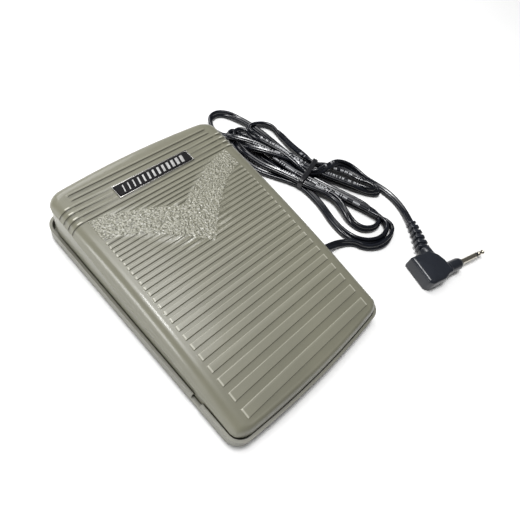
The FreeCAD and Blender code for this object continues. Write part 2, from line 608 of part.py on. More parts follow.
def make_resistors():
    resistors = []
    for y in (1.0, 4.5, 8.0):
        centre = BOARD_HIGH[2] + 1.3
        body = rod(Vector(-8.0, y, centre), Vector(-1.5, y, centre), 1.2)
        lead = rod(Vector(-10.5, y, centre), Vector(1.0, y, centre), 0.3)
        legs = [Part.makeCylinder(0.3, 1.3, Vector(x, y, BOARD_HIGH[2])) for x in (-10.5, 1.0)]
        resistors.append(joined([body, lead] + legs))
    return Part.makeCompound(resistors)


# ---------------------------------------------------------------- wires, cord and plug
def rounded_path(points, label):
    """Straight runs joined by tangent arcs, each as large as its two runs allow."""
    edges = []
    radii = []
    start = points[0]
    for before, corner, after in zip(points, points[1:], points[2:]):
        incoming = corner - before
        outgoing = after - corner
        half_turn = incoming.getAngle(outgoing) / 2
        setback = 0.45 * min(incoming.Length, outgoing.Length)
        radii.append(setback / math.tan(half_turn))
        unit_in = Vector(incoming).normalize()
        unit_out = Vector(outgoing).normalize()
        arc_start = corner - unit_in * setback
        arc_end = corner + unit_out * setback
        inward = (unit_out - unit_in).normalize()
        middle = corner + inward * radii[-1] * (1 / math.cos(half_turn) - 1)
        edges.append(Part.LineSegment(start, arc_start).toShape())
        edges.append(Part.Arc(arc_start, middle, arc_end).toShape())
        start = arc_end
    edges.append(Part.LineSegment(start, points[-1]).toShape())
    path = Part.Wire(edges)
    print(f"{label}: length {path.Length:.1f}, radii", [round(r, 1) for r in radii])
    return path


def round_tube(points, radius, label):
    """A round wire along a rounded path."""
    path = rounded_path(points, label)
    section = Part.Wire(Part.makeCircle(radius, points[0], points[1] - points[0]))
    return path.makePipeShell([section], True, False)


def flat_cord(points, label):
    """The flat cord along a rounded path; its wide side stays level."""
    path = rounded_path(points, label)
    ahead = (points[1] - points[0]).normalize()
    across = ahead.cross(Vector(0, 0, 1)).normalize()
    upward = across.cross(ahead)
    half_flat = (CORD_WIDTH - CORD_THICKNESS) / 2
    half_thick = CORD_THICKNESS / 2

    def at(side, lift):
        return points[0] + across * side + upward * lift

    section = Part.Wire([
        Part.LineSegment(at(-half_flat, half_thick), at(half_flat, half_thick)).toShape(),
        Part.Arc(at(half_flat, half_thick), at(half_flat + half_thick, 0),
                 at(half_flat, -half_thick)).toShape(),
        Part.LineSegment(at(half_flat, -half_thick), at(-half_flat, -half_thick)).toShape(),
        Part.Arc(at(-half_flat, -half_thick), at(-half_flat - half_thick, 0),
                 at(-half_flat, half_thick)).toShape(),
    ])
    sweep = Part.BRepOffsetAPI.MakePipeShell(path)
    sweep.setBiNormalMode(Vector(0, 0, 1))
    sweep.add(section)
    sweep.build()
    sweep.makeSolid()
    solid = sweep.shape()
    area = Part.Face(section).Area
    print(f"{label}: volume {solid.Volume:.1f}, section times length {area * path.Length:.1f}")
    return solid


def vectors(points):
    return [Vector(*point) for point in points]


def make_cord_grommet():
    """Rubber bush in the tray wall's notch, with a flange on each side of the wall."""
    z_low = FLOOR_TOP
    core = box((54.4, CORD_EXIT_Y - 3.9, z_low), (59.0, CORD_EXIT_Y + 3.9, TRAY_RIM - 0.3))
    outside = box((57.55, CORD_EXIT_Y - 5.0, z_low - 0.8), (59.0, CORD_EXIT_Y + 5.0, TRAY_RIM))
    inside = box((54.0, CORD_EXIT_Y - 4.8, z_low), (55.9, CORD_EXIT_Y + 4.8, TRAY_RIM))
    nose = Part.makeCone(3.4, 2.9, 2.0, Vector(59.0, CORD_EXIT_Y, CORD_EXIT_Z), Vector(1, 0, 0))
    return joined([core, outside, inside, nose])


def make_cord_inner():
    half = CORD_THICKNESS / 2
    low = (34.0, CORD_EXIT_Y - CORD_WIDTH / 2, CORD_EXIT_Z - half)
    high = (54.0, CORD_EXIT_Y + CORD_WIDTH / 2, CORD_EXIT_Z + half)
    cord = box(low, high)
    long_edges = [e for e in cord.Edges if e.BoundBox.XLength > 19]
    return cord.makeFillet(half - 0.05, long_edges)


def make_cord_cores():
    cores = []
    for offset, end_y in ((-1.3, -11.5), (1.3, -6.5)):
        route = vectors([(34.0, CORD_EXIT_Y + offset, CORD_EXIT_Z), (29.5, CORD_EXIT_Y + offset + 1, 8.5),
                         (29.5 + offset, -20.0, 12.5), (27.5, end_y - 1.5, 12.0), (24.0, end_y, 11.5)])
        cores.append(round_tube(route, 0.75, "cord core"))
    return Part.makeCompound(cores)


def make_cord_clamp():
    bar = box((40.5, CORD_EXIT_Y - 11.5, CORD_EXIT_Z + 1.3), (47.5, CORD_EXIT_Y + 11.5, CORD_EXIT_Z + 3.3))
    holes = [Part.makeCylinder(1.6, 10, Vector(x, y, 4)) for x, y in CLAMP_SCREW_PLACES]
    return bar.cut(Part.makeCompound(holes))


def make_clamp_screws():
    seat = CORD_EXIT_Z + 3.3
    return Part.makeCompound([screw(x, y, seat, FOOT_HEIGHT + 1.0) for x, y in CLAMP_SCREW_PLACES])


def make_sensor_leads():
    tag_y = PINION_Y - 14.0
    leads = []
    for start_y, tag_z, lift in ((12.0, 11.0, 0.0), (8.0, 15.0, 3.5), (4.0, 19.0, 7.0)):
        route = vectors([(15.1, start_y, BOARD_HIGH[2]), (15.1, start_y + 3.0, 12.0 + lift),
                         (15.1, 26.0, 9.6 + lift), (15.1, 40.0, tag_z - 0.6), (15.1, tag_y, tag_z)])
        leads.append(round_tube(route, 0.7, "sensor lead"))
    return Part.makeCompound(leads)


def hank_point(along, across, z=0.0):
    """A place on the hank, measured from its tie along and across it."""
    x = HANK_CENTRE[0] + along * HANK_WAY[0] + across * HANK_WAY[1]
    y = HANK_CENTRE[1] + along * HANK_WAY[1] - across * HANK_WAY[0]
    return Vector(x, y, z)


def make_cord_hank():
    """The outer shape of the tied turns: two fans that meet in the neck under the tie."""
    def fan(outline, low, high):
        corners = [hank_point(along, across, low) for along, across in outline]
        return Part.Face(Part.makePolygon(corners + corners[:1])).extrude(Vector(0, 0, high - low))

    neck_outline = [(4.0, -11.2), (4.0, 14.2), (-4.0, 14.2), (-4.0, -11.2)]
    return joined([fan(HANK_TOE_OUTLINE, 0.1, HANK_THICKNESS), fan(HANK_HEEL_OUTLINE, 0.1, HANK_THICKNESS),
                   fan(neck_outline, 0.8, HANK_NECK_TOP)])


def make_cord_tie():
    """A twist tie round the neck of the hank: a flat loop, 3 mm wide."""
    def sleeve(half_length, grow, low, high):
        outline = [(half_length, -11.3 - grow), (half_length, 14.3 + grow),
                   (-half_length, 14.3 + grow), (-half_length, -11.3 - grow)]
        corners = [hank_point(along, across, low) for along, across in outline]
        return Part.Face(Part.makePolygon(corners + corners[:1])).extrude(Vector(0, 0, high - low))

    outside = sleeve(1.5, 0.7, 0.05, HANK_NECK_TOP + 0.75)
    return outside.cut(sleeve(3.0, 0.0, 0.75, HANK_NECK_TOP + 0.05))


def make_plug_strain_relief():
    route = vectors(PLUG_RELIEF_ROUTE)
    path = rounded_path(route, "strain relief")
    sections = []
    for point, way, radius in ((route[0], route[1] - route[0], 3.1), (route[2], route[2] - route[1], 4.2)):
        sections.append(Part.Wire(Part.makeCircle(radius, point, way)))
    return path.makePipeShell(sections, True, False)


def plug_point(along, aside, z=0.0):
    """A place on the plug, along its pin and aside towards its cord."""
    return PLUG_CENTRE + PLUG_PIN_WAY * along + PLUG_CORD_WAY * aside + Vector(0, 0, z)


def make_plug_body():
    outline = [(-11.0, -9.0), (-8.0, -11.5), (3.0, -11.5), (8.0, -9.5), (11.5, -9.5), (11.5, 0.0),
               (10.0, 6.0), (6.0, 10.6), (-11.0, 10.6)]
    corners = [plug_point(along, aside) for along, aside in outline]
    block = Part.Face(Part.makePolygon(corners + corners[:1])).extrude(Vector(0, 0, PLUG_HEIGHT))
    level = [e for e in block.Edges if e.BoundBox.ZLength < 0.01]
    block = block.makeFillet(1.5, level)
    barrel = pin_piece(9.0, 23.5, 4.6)
    collar = rod(plug_point(5.5, 8.0, PLUG_AXIS_Z), plug_point(6.0, 13.9, PLUG_AXIS_Z), 4.6)
    return joined([block, barrel, collar]).cut(make_plug_strain_relief())


def pin_piece(start, end, radius):
    """A round length of the pin's axis."""
    first = plug_point(start, PLUG_AXIS_ASIDE, PLUG_AXIS_Z)
    last = plug_point(end, PLUG_AXIS_ASIDE, PLUG_AXIS_Z)
    return rod(first, last, radius)


def make_plug_sleeve():
    flange = pin_piece(23.5, 24.3, 2.6)
    return joined([flange, pin_piece(24.3, 39.0, PLUG_PIN_RADIUS)])


def make_plug_ring():
    return pin_piece(39.0, 40.2, PLUG_PIN_RADIUS)


def make_plug_tip():
    """The contact at the end: a neck, a shank that narrows, and a bulb with a blunt nose."""
    pieces = [pin_piece(40.2, 41.2, 1.3)]
    for start, length, first_radius, last_radius in ((41.2, 1.0, 1.3, 1.7), (42.2, 3.0, 1.7, 1.1),
                                                     (45.2, 1.2, 1.1, 1.6), (46.4, 2.0, 1.6, 0.4)):
        foot = plug_point(start, PLUG_AXIS_ASIDE, PLUG_AXIS_Z)
        pieces.append(Part.makeCone(first_radius, last_radius, length, foot, PLUG_PIN_WAY))
    return joined(pieces)


# ---------------------------------------------------------------- write every piece
os.makedirs("parts", exist_ok=True)
save("base_tray", make_base_tray())
save("rubber_feet", make_rubber_feet())
save("hinge_rod", make_hinge_rod())
save("hinge_clips", make_hinge_clips())
save("heel_stop_pads", make_heel_stop_pads())
save("toe_stop_bumpers", make_toe_stop_bumpers())
save("treadle_cover", make_treadle_cover())
save("nameplate_frame", make_nameplate_frame())
save("nameplate_insert", make_nameplate_insert())
for side_name, place in zip(("left", "right"), SPRING_PLACES):
    save(f"return_spring_{side_name}", make_return_spring(*place))
save("rack_sector", make_rack_sector())
save("sector_screws", make_sector_screws())
save("pinion", make_pinion())
save("potentiometer_shaft", make_potentiometer_shaft())
save("potentiometer_body", make_potentiometer_body())
save("potentiometer_nut", make_potentiometer_nut())
save("potentiometer_bracket", make_potentiometer_bracket())
save("bracket_screws", make_bracket_screws())
save("circuit_board", make_circuit_board())
save("board_screws", make_board_screws())
save("terminal_block", make_terminal_block())
save("capacitor", make_capacitor())
save("transistor", make_transistor())
save("resistors", make_resistors())
save("sensor_leads", make_sensor_leads())
save("cord_grommet", make_cord_grommet())
save("cord_clamp", make_cord_clamp())
save("clamp_screws", make_clamp_screws())
save("cord_inner", make_cord_inner())
save("cord_cores", make_cord_cores())
hank = make_cord_hank()
relief = make_plug_strain_relief()
exit_run = flat_cord(vectors(CORD_EXIT_ROUTE), "cord_exit_run")
free_end = flat_cord(vectors(CORD_FREE_ROUTE), "cord_free_end")
save("cord_exit_run", exit_run.cut(hank).cut(make_cord_grommet()))
save("cord_hank", hank)
save("cord_tie", make_cord_tie())
save("cord_free_end", free_end.cut(hank).cut(relief))
save("plug_strain_relief", relief)
save("plug_body", make_plug_body())
save("plug_sleeve", make_plug_sleeve())
save("plug_ring", make_plug_ring())
save("plug_tip", make_plug_tip())
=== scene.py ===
"""Sewing machine foot pedal: a hinged treadle cover nested in a base tray, with its cord and jack plug.

Metres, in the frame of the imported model: +Y to the toe (high) end, +X to the user's right, +Z up.
"""
import bmesh
import bpy
import numpy as np
from mathutils import Matrix, Vector


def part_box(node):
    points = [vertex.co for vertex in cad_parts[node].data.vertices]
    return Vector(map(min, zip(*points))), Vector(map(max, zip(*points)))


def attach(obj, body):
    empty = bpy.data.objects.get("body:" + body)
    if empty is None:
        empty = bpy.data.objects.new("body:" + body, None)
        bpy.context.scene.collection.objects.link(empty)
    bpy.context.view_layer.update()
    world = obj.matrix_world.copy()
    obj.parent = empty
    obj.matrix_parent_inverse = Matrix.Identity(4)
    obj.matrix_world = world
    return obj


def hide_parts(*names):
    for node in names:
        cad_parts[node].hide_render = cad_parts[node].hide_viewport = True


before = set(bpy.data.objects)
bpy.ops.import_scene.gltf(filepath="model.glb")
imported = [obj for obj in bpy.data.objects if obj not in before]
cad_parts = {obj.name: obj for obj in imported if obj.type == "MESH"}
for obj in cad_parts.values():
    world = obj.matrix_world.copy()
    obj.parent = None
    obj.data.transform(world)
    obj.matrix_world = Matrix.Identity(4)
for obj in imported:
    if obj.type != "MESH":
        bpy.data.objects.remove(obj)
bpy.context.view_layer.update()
MM = 0.001

# ---------------------------------------------------------------- camera and studio
# The pedal lies on a plain white sweep, seen from above its heel and left side. A broad panel and
# a small lamp hang overhead, weaker panels stand at the toe and the left, and the surround is a dim white.
camera_data = bpy.data.cameras.new("pedal_camera")
camera_data.lens = 31.27
camera_data.sensor_width = 36.0
camera_data.clip_start = 0.01
camera = bpy.data.objects.new("pedal_camera", camera_data)
bpy.context.scene.collection.objects.link(camera)
camera_right = (0.70164, -0.68438, 0.19833)
camera_up = (0.51570, 0.67982, 0.52145)
camera_back = (-0.49169, -0.26359, 0.82991)
camera_place = (-0.1073, -0.0821, 0.2292)
camera.matrix_world = Matrix((
    (camera_right[0], camera_up[0], camera_back[0], camera_place[0]),
    (camera_right[1], camera_up[1], camera_back[1], camera_place[1]),
    (camera_right[2], camera_up[2], camera_back[2], camera_place[2]),
    (0.0, 0.0, 0.0, 1.0),
))
bpy.context.scene.camera = camera
bpy.context.scene.view_settings.view_transform = "Standard"


def soft_light(name, place, aim, size, watts):
    """A square area light at place, its face turned towards aim."""
    light = bpy.data.lights.new(name, "AREA")
    light.size = size
    light.energy = watts
    holder = bpy.data.objects.new(name, light)
    bpy.context.scene.collection.objects.link(holder)
    direction = np.array(aim) - np.array(place)
    holder.location = place
    holder.rotation_mode = "QUATERNION"
    holder.rotation_quaternion = Vector(direction).to_track_quat("-Z", "Y")


soft_light("overhead_panel", (0.02, 0.16, 1.10), (0.02, 0.0, 0.0), 0.70, 8.0)
soft_light("overhead_lamp", (0.00, 0.080, 1.10), (0.02, 0.0, 0.0), 0.20, 5.0)
soft_light("toe_panel", (0.15, 0.95, 0.62), (0.02, 0.0, 0.0), 0.55, 5.0)
soft_light("left_panel", (-1.00, 0.25, 0.12), (0.0, 0.0, 0.0), 0.45, 7.5)

world = bpy.data.worlds.new("white_surround")
bpy.context.scene.world = world
world.use_nodes = True
world.node_tree.nodes["Background"].inputs["Color"].default_value = (1.0, 1.0, 1.0, 1.0)
world.node_tree.nodes["Background"].inputs["Strength"].default_value = 0.15


def new_material(name, **constants):
    """A material with one Principled shader, its constants set by socket name, and Object coordinates."""
    material = bpy.data.materials.new(name)
    material.use_nodes = True
    tree = material.node_tree
    shader = tree.nodes["Principled BSDF"]
    for socket, value in constants.items():
        shader.inputs[socket.replace("_", " ")].default_value = value
    place = tree.nodes.new("ShaderNodeTexCoord")
    return material, tree, shader, place.outputs["Object"]


def node(tree, kind, settings=None, **inputs):
    """A node of that kind, its settings given, its inputs given as values or as sockets to link."""
    made = tree.nodes.new(kind)
    for key, value in (settings or {}).items():
        setattr(made, key, value)
    for key, value in inputs.items():
        by_number = key[0] == "n" and key[1:].isdigit()
        socket = made.inputs[int(key[1:]) if by_number else key.replace("_", " ")]
        if isinstance(value, bpy.types.NodeSocket):
            tree.links.new(value, socket)
        else:
            socket.default_value = value
    return made


def grain_group():
    """Moulded grain: a fine noise and a coarser one, each 0 to 1, and a height that adds them."""
    group = bpy.data.node_groups.new("Moulded grain", "ShaderNodeTree")
    group.interface.new_socket("Vector", in_out="INPUT", socket_type="NodeSocketVector")
    group.interface.new_socket("Grains per metre", in_out="INPUT", socket_type="NodeSocketFloat")
    group.interface.new_socket("Cloud size", in_out="INPUT", socket_type="NodeSocketFloat")
    group.interface.new_socket("Height", in_out="OUTPUT", socket_type="NodeSocketFloat")
    group.interface.new_socket("Cloud", in_out="OUTPUT", socket_type="NodeSocketFloat")
    group.interface.new_socket("Speck", in_out="OUTPUT", socket_type="NodeSocketFloat")
    inside = group.nodes.new("NodeGroupInput").outputs
    outside = group.nodes.new("NodeGroupOutput").inputs
    fine = node(group, "ShaderNodeTexNoise", Vector=inside["Vector"], Scale=inside["Grains per metre"],
                Detail=3.0)
    cloud = node(group, "ShaderNodeTexNoise", Vector=inside["Vector"], Scale=inside["Cloud size"], Detail=5.0,
                 Roughness=0.62)
    speck = node(group, "ShaderNodeTexVoronoi", Vector=inside["Vector"], Scale=inside["Grains per metre"])
    height = node(group, "ShaderNodeMath", {"operation": "MULTIPLY_ADD"}, n0=speck.outputs["Distance"], n1=0.6,
                  n2=fine.outputs["Fac"])
    group.links.new(height.outputs[0], outside["Height"])
    group.links.new(cloud.outputs["Fac"], outside["Cloud"])
    group.links.new(fine.outputs["Fac"], outside["Speck"])
    return group


def finish_group():
    """Finish with dust and painted light: colour between two shades by a cloud, dulled by dust, mixed towards
    the edge colour by the Edge input (printed ink on the cord, a painted highlight on the cover) and towards
    the recess colour by the Recess input (painted shade)."""
    group = bpy.data.node_groups.new("Finish with dust and painted light", "ShaderNodeTree")
    for name in ("Shade", "Deep shade", "Dust colour", "Edge colour", "Recess colour"):
        group.interface.new_socket(name, in_out="INPUT", socket_type="NodeSocketColor")
    for name in ("Cloud", "Speck", "Dust", "Edge", "Recess"):
        group.interface.new_socket(name, in_out="INPUT", socket_type="NodeSocketFloat")
    group.interface.new_socket("Roughness", in_out="INPUT", socket_type="NodeSocketFloat")
    group.interface.new_socket("Colour", in_out="OUTPUT", socket_type="NodeSocketColor")
    group.interface.new_socket("Roughness out", in_out="OUTPUT", socket_type="NodeSocketFloat")
    inside = group.nodes.new("NodeGroupInput").outputs
    outside = group.nodes.new("NodeGroupOutput").inputs
    spread = node(group, "ShaderNodeMapRange", Value=inside["Cloud"], From_Min=0.35, From_Max=0.65)
    shade = node(group, "ShaderNodeMix", {"data_type": "RGBA"}, n0=spread.outputs[0], n6=inside["Deep shade"],
                 n7=inside["Shade"])
    dusty = node(group, "ShaderNodeMath", {"operation": "MULTIPLY"}, n0=inside["Dust"], n1=inside["Speck"])
    with_dust = node(group, "ShaderNodeMix", {"data_type": "RGBA"}, n0=dusty.outputs[0], n6=shade.outputs[2],
                     n7=inside["Dust colour"])
    with_edge = node(group, "ShaderNodeMix", {"data_type": "RGBA"}, n0=inside["Edge"],
                     n6=with_dust.outputs[2], n7=inside["Edge colour"])
    with_recess = node(group, "ShaderNodeMix", {"data_type": "RGBA"}, n0=inside["Recess"],
                       n6=with_edge.outputs[2], n7=inside["Recess colour"])
    rough = node(group, "ShaderNodeMath", {"operation": "MULTIPLY_ADD"}, n0=inside["Speck"], n1=0.14,
                 n2=inside["Roughness"])
    rougher = node(group, "ShaderNodeMath", {"operation": "MULTIPLY_ADD", "use_clamp": True},
                   n0=dusty.outputs[0], n1=0.3, n2=rough.outputs[0])
    group.links.new(with_recess.outputs[2], outside["Colour"])
    group.links.new(rougher.outputs[0], outside["Roughness out"])
    return group


moulded_grain = grain_group()
finish_with_painted_light = finish_group()


def finished(name, shade, deep, roughness, grains=1800.0, clouds=26.0, bump=0.25, dust=0.1,
             dust_colour=(0.30, 0.29, 0.26, 1.0), **constants):
    """A material of one real finish: the two groups feed its colour, its roughness and a fine bump."""
    material, tree, shader, place = new_material(name, **constants)
    grain = node(tree, "ShaderNodeGroup", {"node_tree": moulded_grain}, Vector=place, Grains_per_metre=grains,
                 Cloud_size=clouds)
    finish = node(tree, "ShaderNodeGroup", {"node_tree": finish_with_painted_light}, Shade=(*shade, 1.0),
                  Deep_shade=(*deep, 1.0), Dust_colour=dust_colour, Edge_colour=(0.6, 0.59, 0.52, 1.0),
                  Cloud=grain.outputs["Cloud"], Speck=grain.outputs["Speck"], Dust=dust, Edge=0.0,
                  Recess=0.0, Recess_colour=(0.05, 0.05, 0.04, 1.0), Roughness=roughness - 0.07)
    grain_bump = node(tree, "ShaderNodeBump", Strength=bump, Distance=0.00003, Height=grain.outputs["Height"])
    tree.links.new(finish.outputs["Colour"], shader.inputs["Base Color"])
    tree.links.new(finish.outputs["Roughness out"], shader.inputs["Roughness"])
    tree.links.new(grain_bump.outputs["Normal"], shader.inputs["Normal"])
    return material


def paint(material, *names):
    """Gives a CAD node that stays its material, in every slot."""
    for name in names:
        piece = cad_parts[name]
        if not piece.material_slots:
            piece.data.materials.append(material)
        for place in piece.material_slots:
            place.material = material


floor_mesh = bpy.data.meshes.new("studio_floor")
floor_mesh.from_pydata([(-4, -4, 0), (4, -4, 0), (4, 4, 0), (-4, 4, 0)], [], [(0, 1, 2, 3)])
studio_floor = bpy.data.objects.new("studio_floor", floor_mesh)
bpy.context.scene.collection.objects.link(studio_floor)
white_sweep = finished("white_sweep", (0.93, 0.93, 0.93), (0.90, 0.90, 0.90), 0.75, grains=300.0, clouds=3.0,
                       bump=0.02, dust=0.0)
floor_mesh.materials.append(white_sweep)

# ---------------------------------------------------------------- cord
# Flat twin flex, two stranded copper cores in one black PVC jacket, 5.2 x 2.6 mm. It leaves the right
# side of the tray, is folded into a flat hank of about five turns held by a tie, and ends in the plug.
CORD_WIDTH = 5.2
exit_route = [(61, -30, 6), (70, -30.6, 3.4), (79, -33, 2.2), (87, -38.6, 1.9)]
free_route = [(137, -7, 3.0), (141.6, -18.5, 2.4), (142.9, -31, 2.1), (139.8, -43, 2.3), (133.2, -54, 3.2)]
relief_route = [(133.2, -54, 3.2), (128, -62.5, 4.4), (119.4, -72, 5.5)]
TIE_X, TIE_Y = 101.8, 19.8

# Each fold of the hank runs from the tie out to its tip and back: (towards the toe, across, height).
folds = [
    [(-58.5, -32.5, 2.4), (-67.5, -25, 2.9), (-71, -13, 2.9), (-69.5, -4, 2.9), (-60, -0.6, 2.2),
     (-44, -1.6, 1.7), (-26, -2.8, 1.7), (-12, -3.6, 2.0)],
    [(0, -3.9, 2.3), (10, -4.2, 2.0), (24, -3.6, 1.8), (38, -1.2, 1.8), (50, 2.5, 2.6), (59, 7.5, 2.9),
     (64.5, 4.5, 2.9), (62.5, -3, 2.9), (54, -9.5, 2.8), (43, -13.5, 2.2), (31, -15.5, 1.8), (19, -13, 1.8),
     (9, -10.4, 2.0)],
    [(0, -9.3, 2.3), (-9, -11.6, 2.0), (-20, -16.6, 1.8), (-32, -25.6, 2.4), (-45, -31, 2.9),
     (-56.5, -28.6, 2.9), (-64.4, -21.4, 2.9), (-67.2, -11.4, 2.9), (-64.6, -4.2, 3.4), (-54, -2.0, 4.6),
     (-40, -2.2, 5.0), (-25, -3.0, 5.2), (-11, -3.6, 5.4)],
    [(0, -3.9, 5.4), (10, -3.4, 5.2), (24, -0.5, 4.9), (38, 3.4, 4.8), (49, 6.4, 4.6), (56, 4.5, 4.5),
     (57, -1.5, 4.5), (50, -7, 4.7), (41, -10, 4.8), (29, -11.4, 4.8), (18, -10, 5.0), (9, -9.4, 5.2)],
    [(0, -9.3, 5.4), (-9, -8.4, 5.2), (-18, -6.8, 5.0), (-27, -7.4, 4.8), (-35, -13, 4.2), (-43, -18.8, 3.2),
     (-51.4, -19.6, 2.9), (-57.8, -14.6, 2.9), (-60.2, -7.2, 2.9), (-56.5, -0.2, 2.8), (-45, 2.4, 2.0),
     (-29, 2.3, 1.9), (-12, 1.8, 2.0)],
    [(0, 1.5, 2.3), (10, 1.8, 3.0), (24, 2.6, 5.6), (38, 1.6, 7.6), (50, -1.6, 8.2), (58.5, -4.4, 7.8),
     (66, -4.6, 5.0), (73, -2.2, 3.0), (78.4, 1.6, 2.8), (82.4, 7.6, 2.8), (80.6, 15.6, 2.8), (72.5, 20, 2.7),
     (59, 21, 2.4), (46, 19.4, 2.0), (30, 14.6, 2.0), (14, 9.6, 2.1)],
    [(0, 6.9, 2.3), (-10, 8.2, 2.0), (-24, 10.8, 1.8), (-37, 13.4, 2.2), (-46.5, 15.2, 2.8), (-51.5, 19, 2.9),
     (-47, 23.4, 2.9), (-34.5, 24.2, 2.5), (-22, 24.6, 2.2), (-10.5, 19.8, 2.2)],
    [(0, 12.2, 2.3), (12, 12.2, 2.2), (26, 10.6, 2.4), (40, 11.0, 3.0), (52, 12.4, 3.6), (60.6, 9.6, 3.8),
     (61, 1.6, 4.0), (54.6, -3.6, 4.8), (45, -4.6, 6.8), (33, -1.6, 7.8), (20, 2.6, 7.4), (9, 6.0, 6.2)],
    [(0, 6.9, 5.4), (-10, 7.9, 5.4), (-24, 10.4, 5.2), (-36, 12.6, 5.0), (-44.8, 14.4, 4.8), (-48, 17.8, 4.8),
     (-44, 20.6, 4.8), (-33, 20.8, 4.8), (-22, 21, 5.0), (-10.5, 17, 5.2)],
    [(0, 12.2, 5.4), (9, 15.2, 5.0), (20, 19.6, 3.6), (30.4, 25, 2.6), (40, 29.6, 2.7), (48.4, 28, 2.7),
     (54.6, 20.4, 3.2), (54.4, 12, 5.6), (47, 6.6, 7.8), (35, 6.0, 8.2), (21, 5.6, 8.0), (9, 3.0, 6.6)],
    [(0, 1.5, 5.4), (-6, 3.6, 7.6), (-10, 12, 8.2), (-13.5, 21.5, 7.4), (-19.5, 28.4, 4.4), (-28, 29, 3.0)],
]
route = list(exit_route)
for fold in folds:
    for toeward, across, height in fold:
        route.append((TIE_X - 0.32 * toeward + 0.947 * across,
                      TIE_Y + 0.947 * toeward + 0.32 * across, height))
route += free_route + relief_route[1:]


def spline_points(points, name):
    """Points along a NURBS spline of order 3 with the given control points, read from a curve with no bevel."""
    points = np.array(points, float) * MM
    curve = bpy.data.curves.new(name, "CURVE")
    curve.dimensions = "3D"
    curve.resolution_u = 16
    spline = curve.splines.new("NURBS")
    spline.points.add(len(points) - 1)
    spline.points.foreach_set("co", np.column_stack([points, np.ones(len(points))]).ravel())
    spline.order_u = 3
    spline.use_endpoint_u = True
    holder = bpy.data.objects.new(name, curve)
    bpy.context.scene.collection.objects.link(holder)
    line = bpy.data.meshes.new_from_object(holder)
    found = np.empty(3 * len(line.vertices))
    line.vertices.foreach_get("co", found)
    bpy.data.objects.remove(holder)
    bpy.data.curves.remove(curve)
    bpy.data.meshes.remove(line)
    return found.reshape(-1, 3)


def evenly(points, step):
    """The same line at equal steps of its own length, and the distance of each point from its start."""
    lengths = np.concatenate([[0], np.cumsum(np.linalg.norm(np.diff(points, axis=0), axis=1))])
    places = np.linspace(0, lengths[-1], max(int(round(lengths[-1] / step)), 2) + 1)
    return np.column_stack([np.interp(places, lengths, points[:, k]) for k in range(3)]), places


def smooth(values, reach):
    """A moving average over reach values each side, ends held."""
    window = np.hanning(2 * reach + 3)[1:-1]
    padded = np.pad(values, reach, mode="edge")
    return np.convolve(padded, window / window.sum(), mode="valid")


def sweep_frame(line, turn=None):
    """Directions at each point: along, sideways (level) and up, turned about the first by turn radians."""
    along = np.gradient(line, axis=0)
    along /= np.linalg.norm(along, axis=1)[:, None]
    side = np.cross([0.0, 0.0, 1.0], along)
    side /= np.maximum(np.linalg.norm(side, axis=1), 1e-9)[:, None]
    up = np.cross(along, side)
    if turn is not None:
        c, s = np.cos(turn)[:, None], np.sin(turn)[:, None]
        side, up = side * c + up * s, up * c - side * s
    return along, side, up


def grid_faces(row_total, column_total, start=0, around=False):
    """Quads between neighbours of a grid whose first point has the number start."""
    row = np.arange(row_total - 1)[:, None] * column_total
    column = np.arange(column_total if around else column_total - 1)[None, :]
    after = (column + 1) % column_total
    return (start + np.stack([row + column, row + after, row + column_total + after,
                              row + column_total + column], -1)).reshape(-1, 4)


def surface(name, grid, material, capped=False):
    """An object from points on a grid (rows, columns, 3): quads between neighbours, closed round the columns,
    and each end row closed by a fan to its middle if capped."""
    rows, columns = grid.shape[:2]
    points = grid.reshape(-1, 3)
    faces = grid_faces(rows, columns, around=True).tolist()
    if capped:
        middles = np.array([grid[0].mean(0), grid[-1].mean(0)])
        start, last = len(points), (rows - 1) * columns
        points = np.vstack([points, middles])
        ring = np.arange(columns)
        ahead = (ring + 1) % columns
        faces += np.stack([ahead, ring, np.full(columns, start)], -1).tolist()
        faces += np.stack([last + ring, last + ahead, np.full(columns, start + 1)], -1).tolist()
    mesh = bpy.data.meshes.new(name)
    mesh.from_pydata(points.tolist(), [], faces)
    mesh.shade_smooth()
    mesh.materials.append(material)
    piece = bpy.data.objects.new(name, mesh)
    bpy.context.scene.collection.objects.link(piece)
    return piece


def outward(piece, weld=1e-6):
    """Merges points that coincide and turns every face outwards."""
    shape = bmesh.new()
    shape.from_mesh(piece.data)
    bmesh.ops.remove_doubles(shape, verts=shape.verts, dist=weld)
    bmesh.ops.recalc_face_normals(shape, faces=shape.faces)
    shape.to_mesh(piece.data)
    shape.free()


def point_values(piece, name, values):
    """Stores one number for each point of the piece's mesh."""
    store = piece.data.attributes.new(name, "FLOAT", "POINT")
    store.data.foreach_set("value", np.asarray(values, np.float32).ravel())


cord_line, cord_places = evenly(spline_points(route, "cord_route"), 1.3 * MM)
cord_heading = np.unwrap(np.arctan2(*np.gradient(cord_line[:, :2], axis=0).T[::-1]))
bend = smooth(np.abs(np.gradient(cord_heading, cord_places)), 9)
on_edge = np.clip((bend - 22.0) / 40.0, 0, 1)
on_edge = smooth(on_edge * on_edge * (3 - 2 * on_edge), 5)
cord_turn = on_edge * 1.25 + 0.12 * np.sin(cord_places * 47.0)
lowest_centre = 1.35 + 1.3 * np.sin(np.clip(on_edge * 1.25, 0, 1.57))
cord_line[:, 2] = np.maximum(cord_line[:, 2], lowest_centre * MM)
lobe = np.radians(np.linspace(-148, 148, 11))
core_radius = CORD_WIDTH / 4
one_side = core_radius + core_radius * np.cos(lobe)
section_side = np.concatenate([one_side, -one_side])
section_up = np.concatenate([core_radius * np.sin(lobe), -core_radius * np.sin(lobe)])
_, cord_side, cord_up = sweep_frame(cord_line, cord_turn)
cord_grid = (cord_line[:, None, :] + cord_side[:, None, :] * section_side[None, :, None] * MM
             + cord_up[:, None, :] * section_up[None, :, None] * MM)
cord_grid[..., 2] = np.maximum(cord_grid[..., 2], 0.05 * MM)


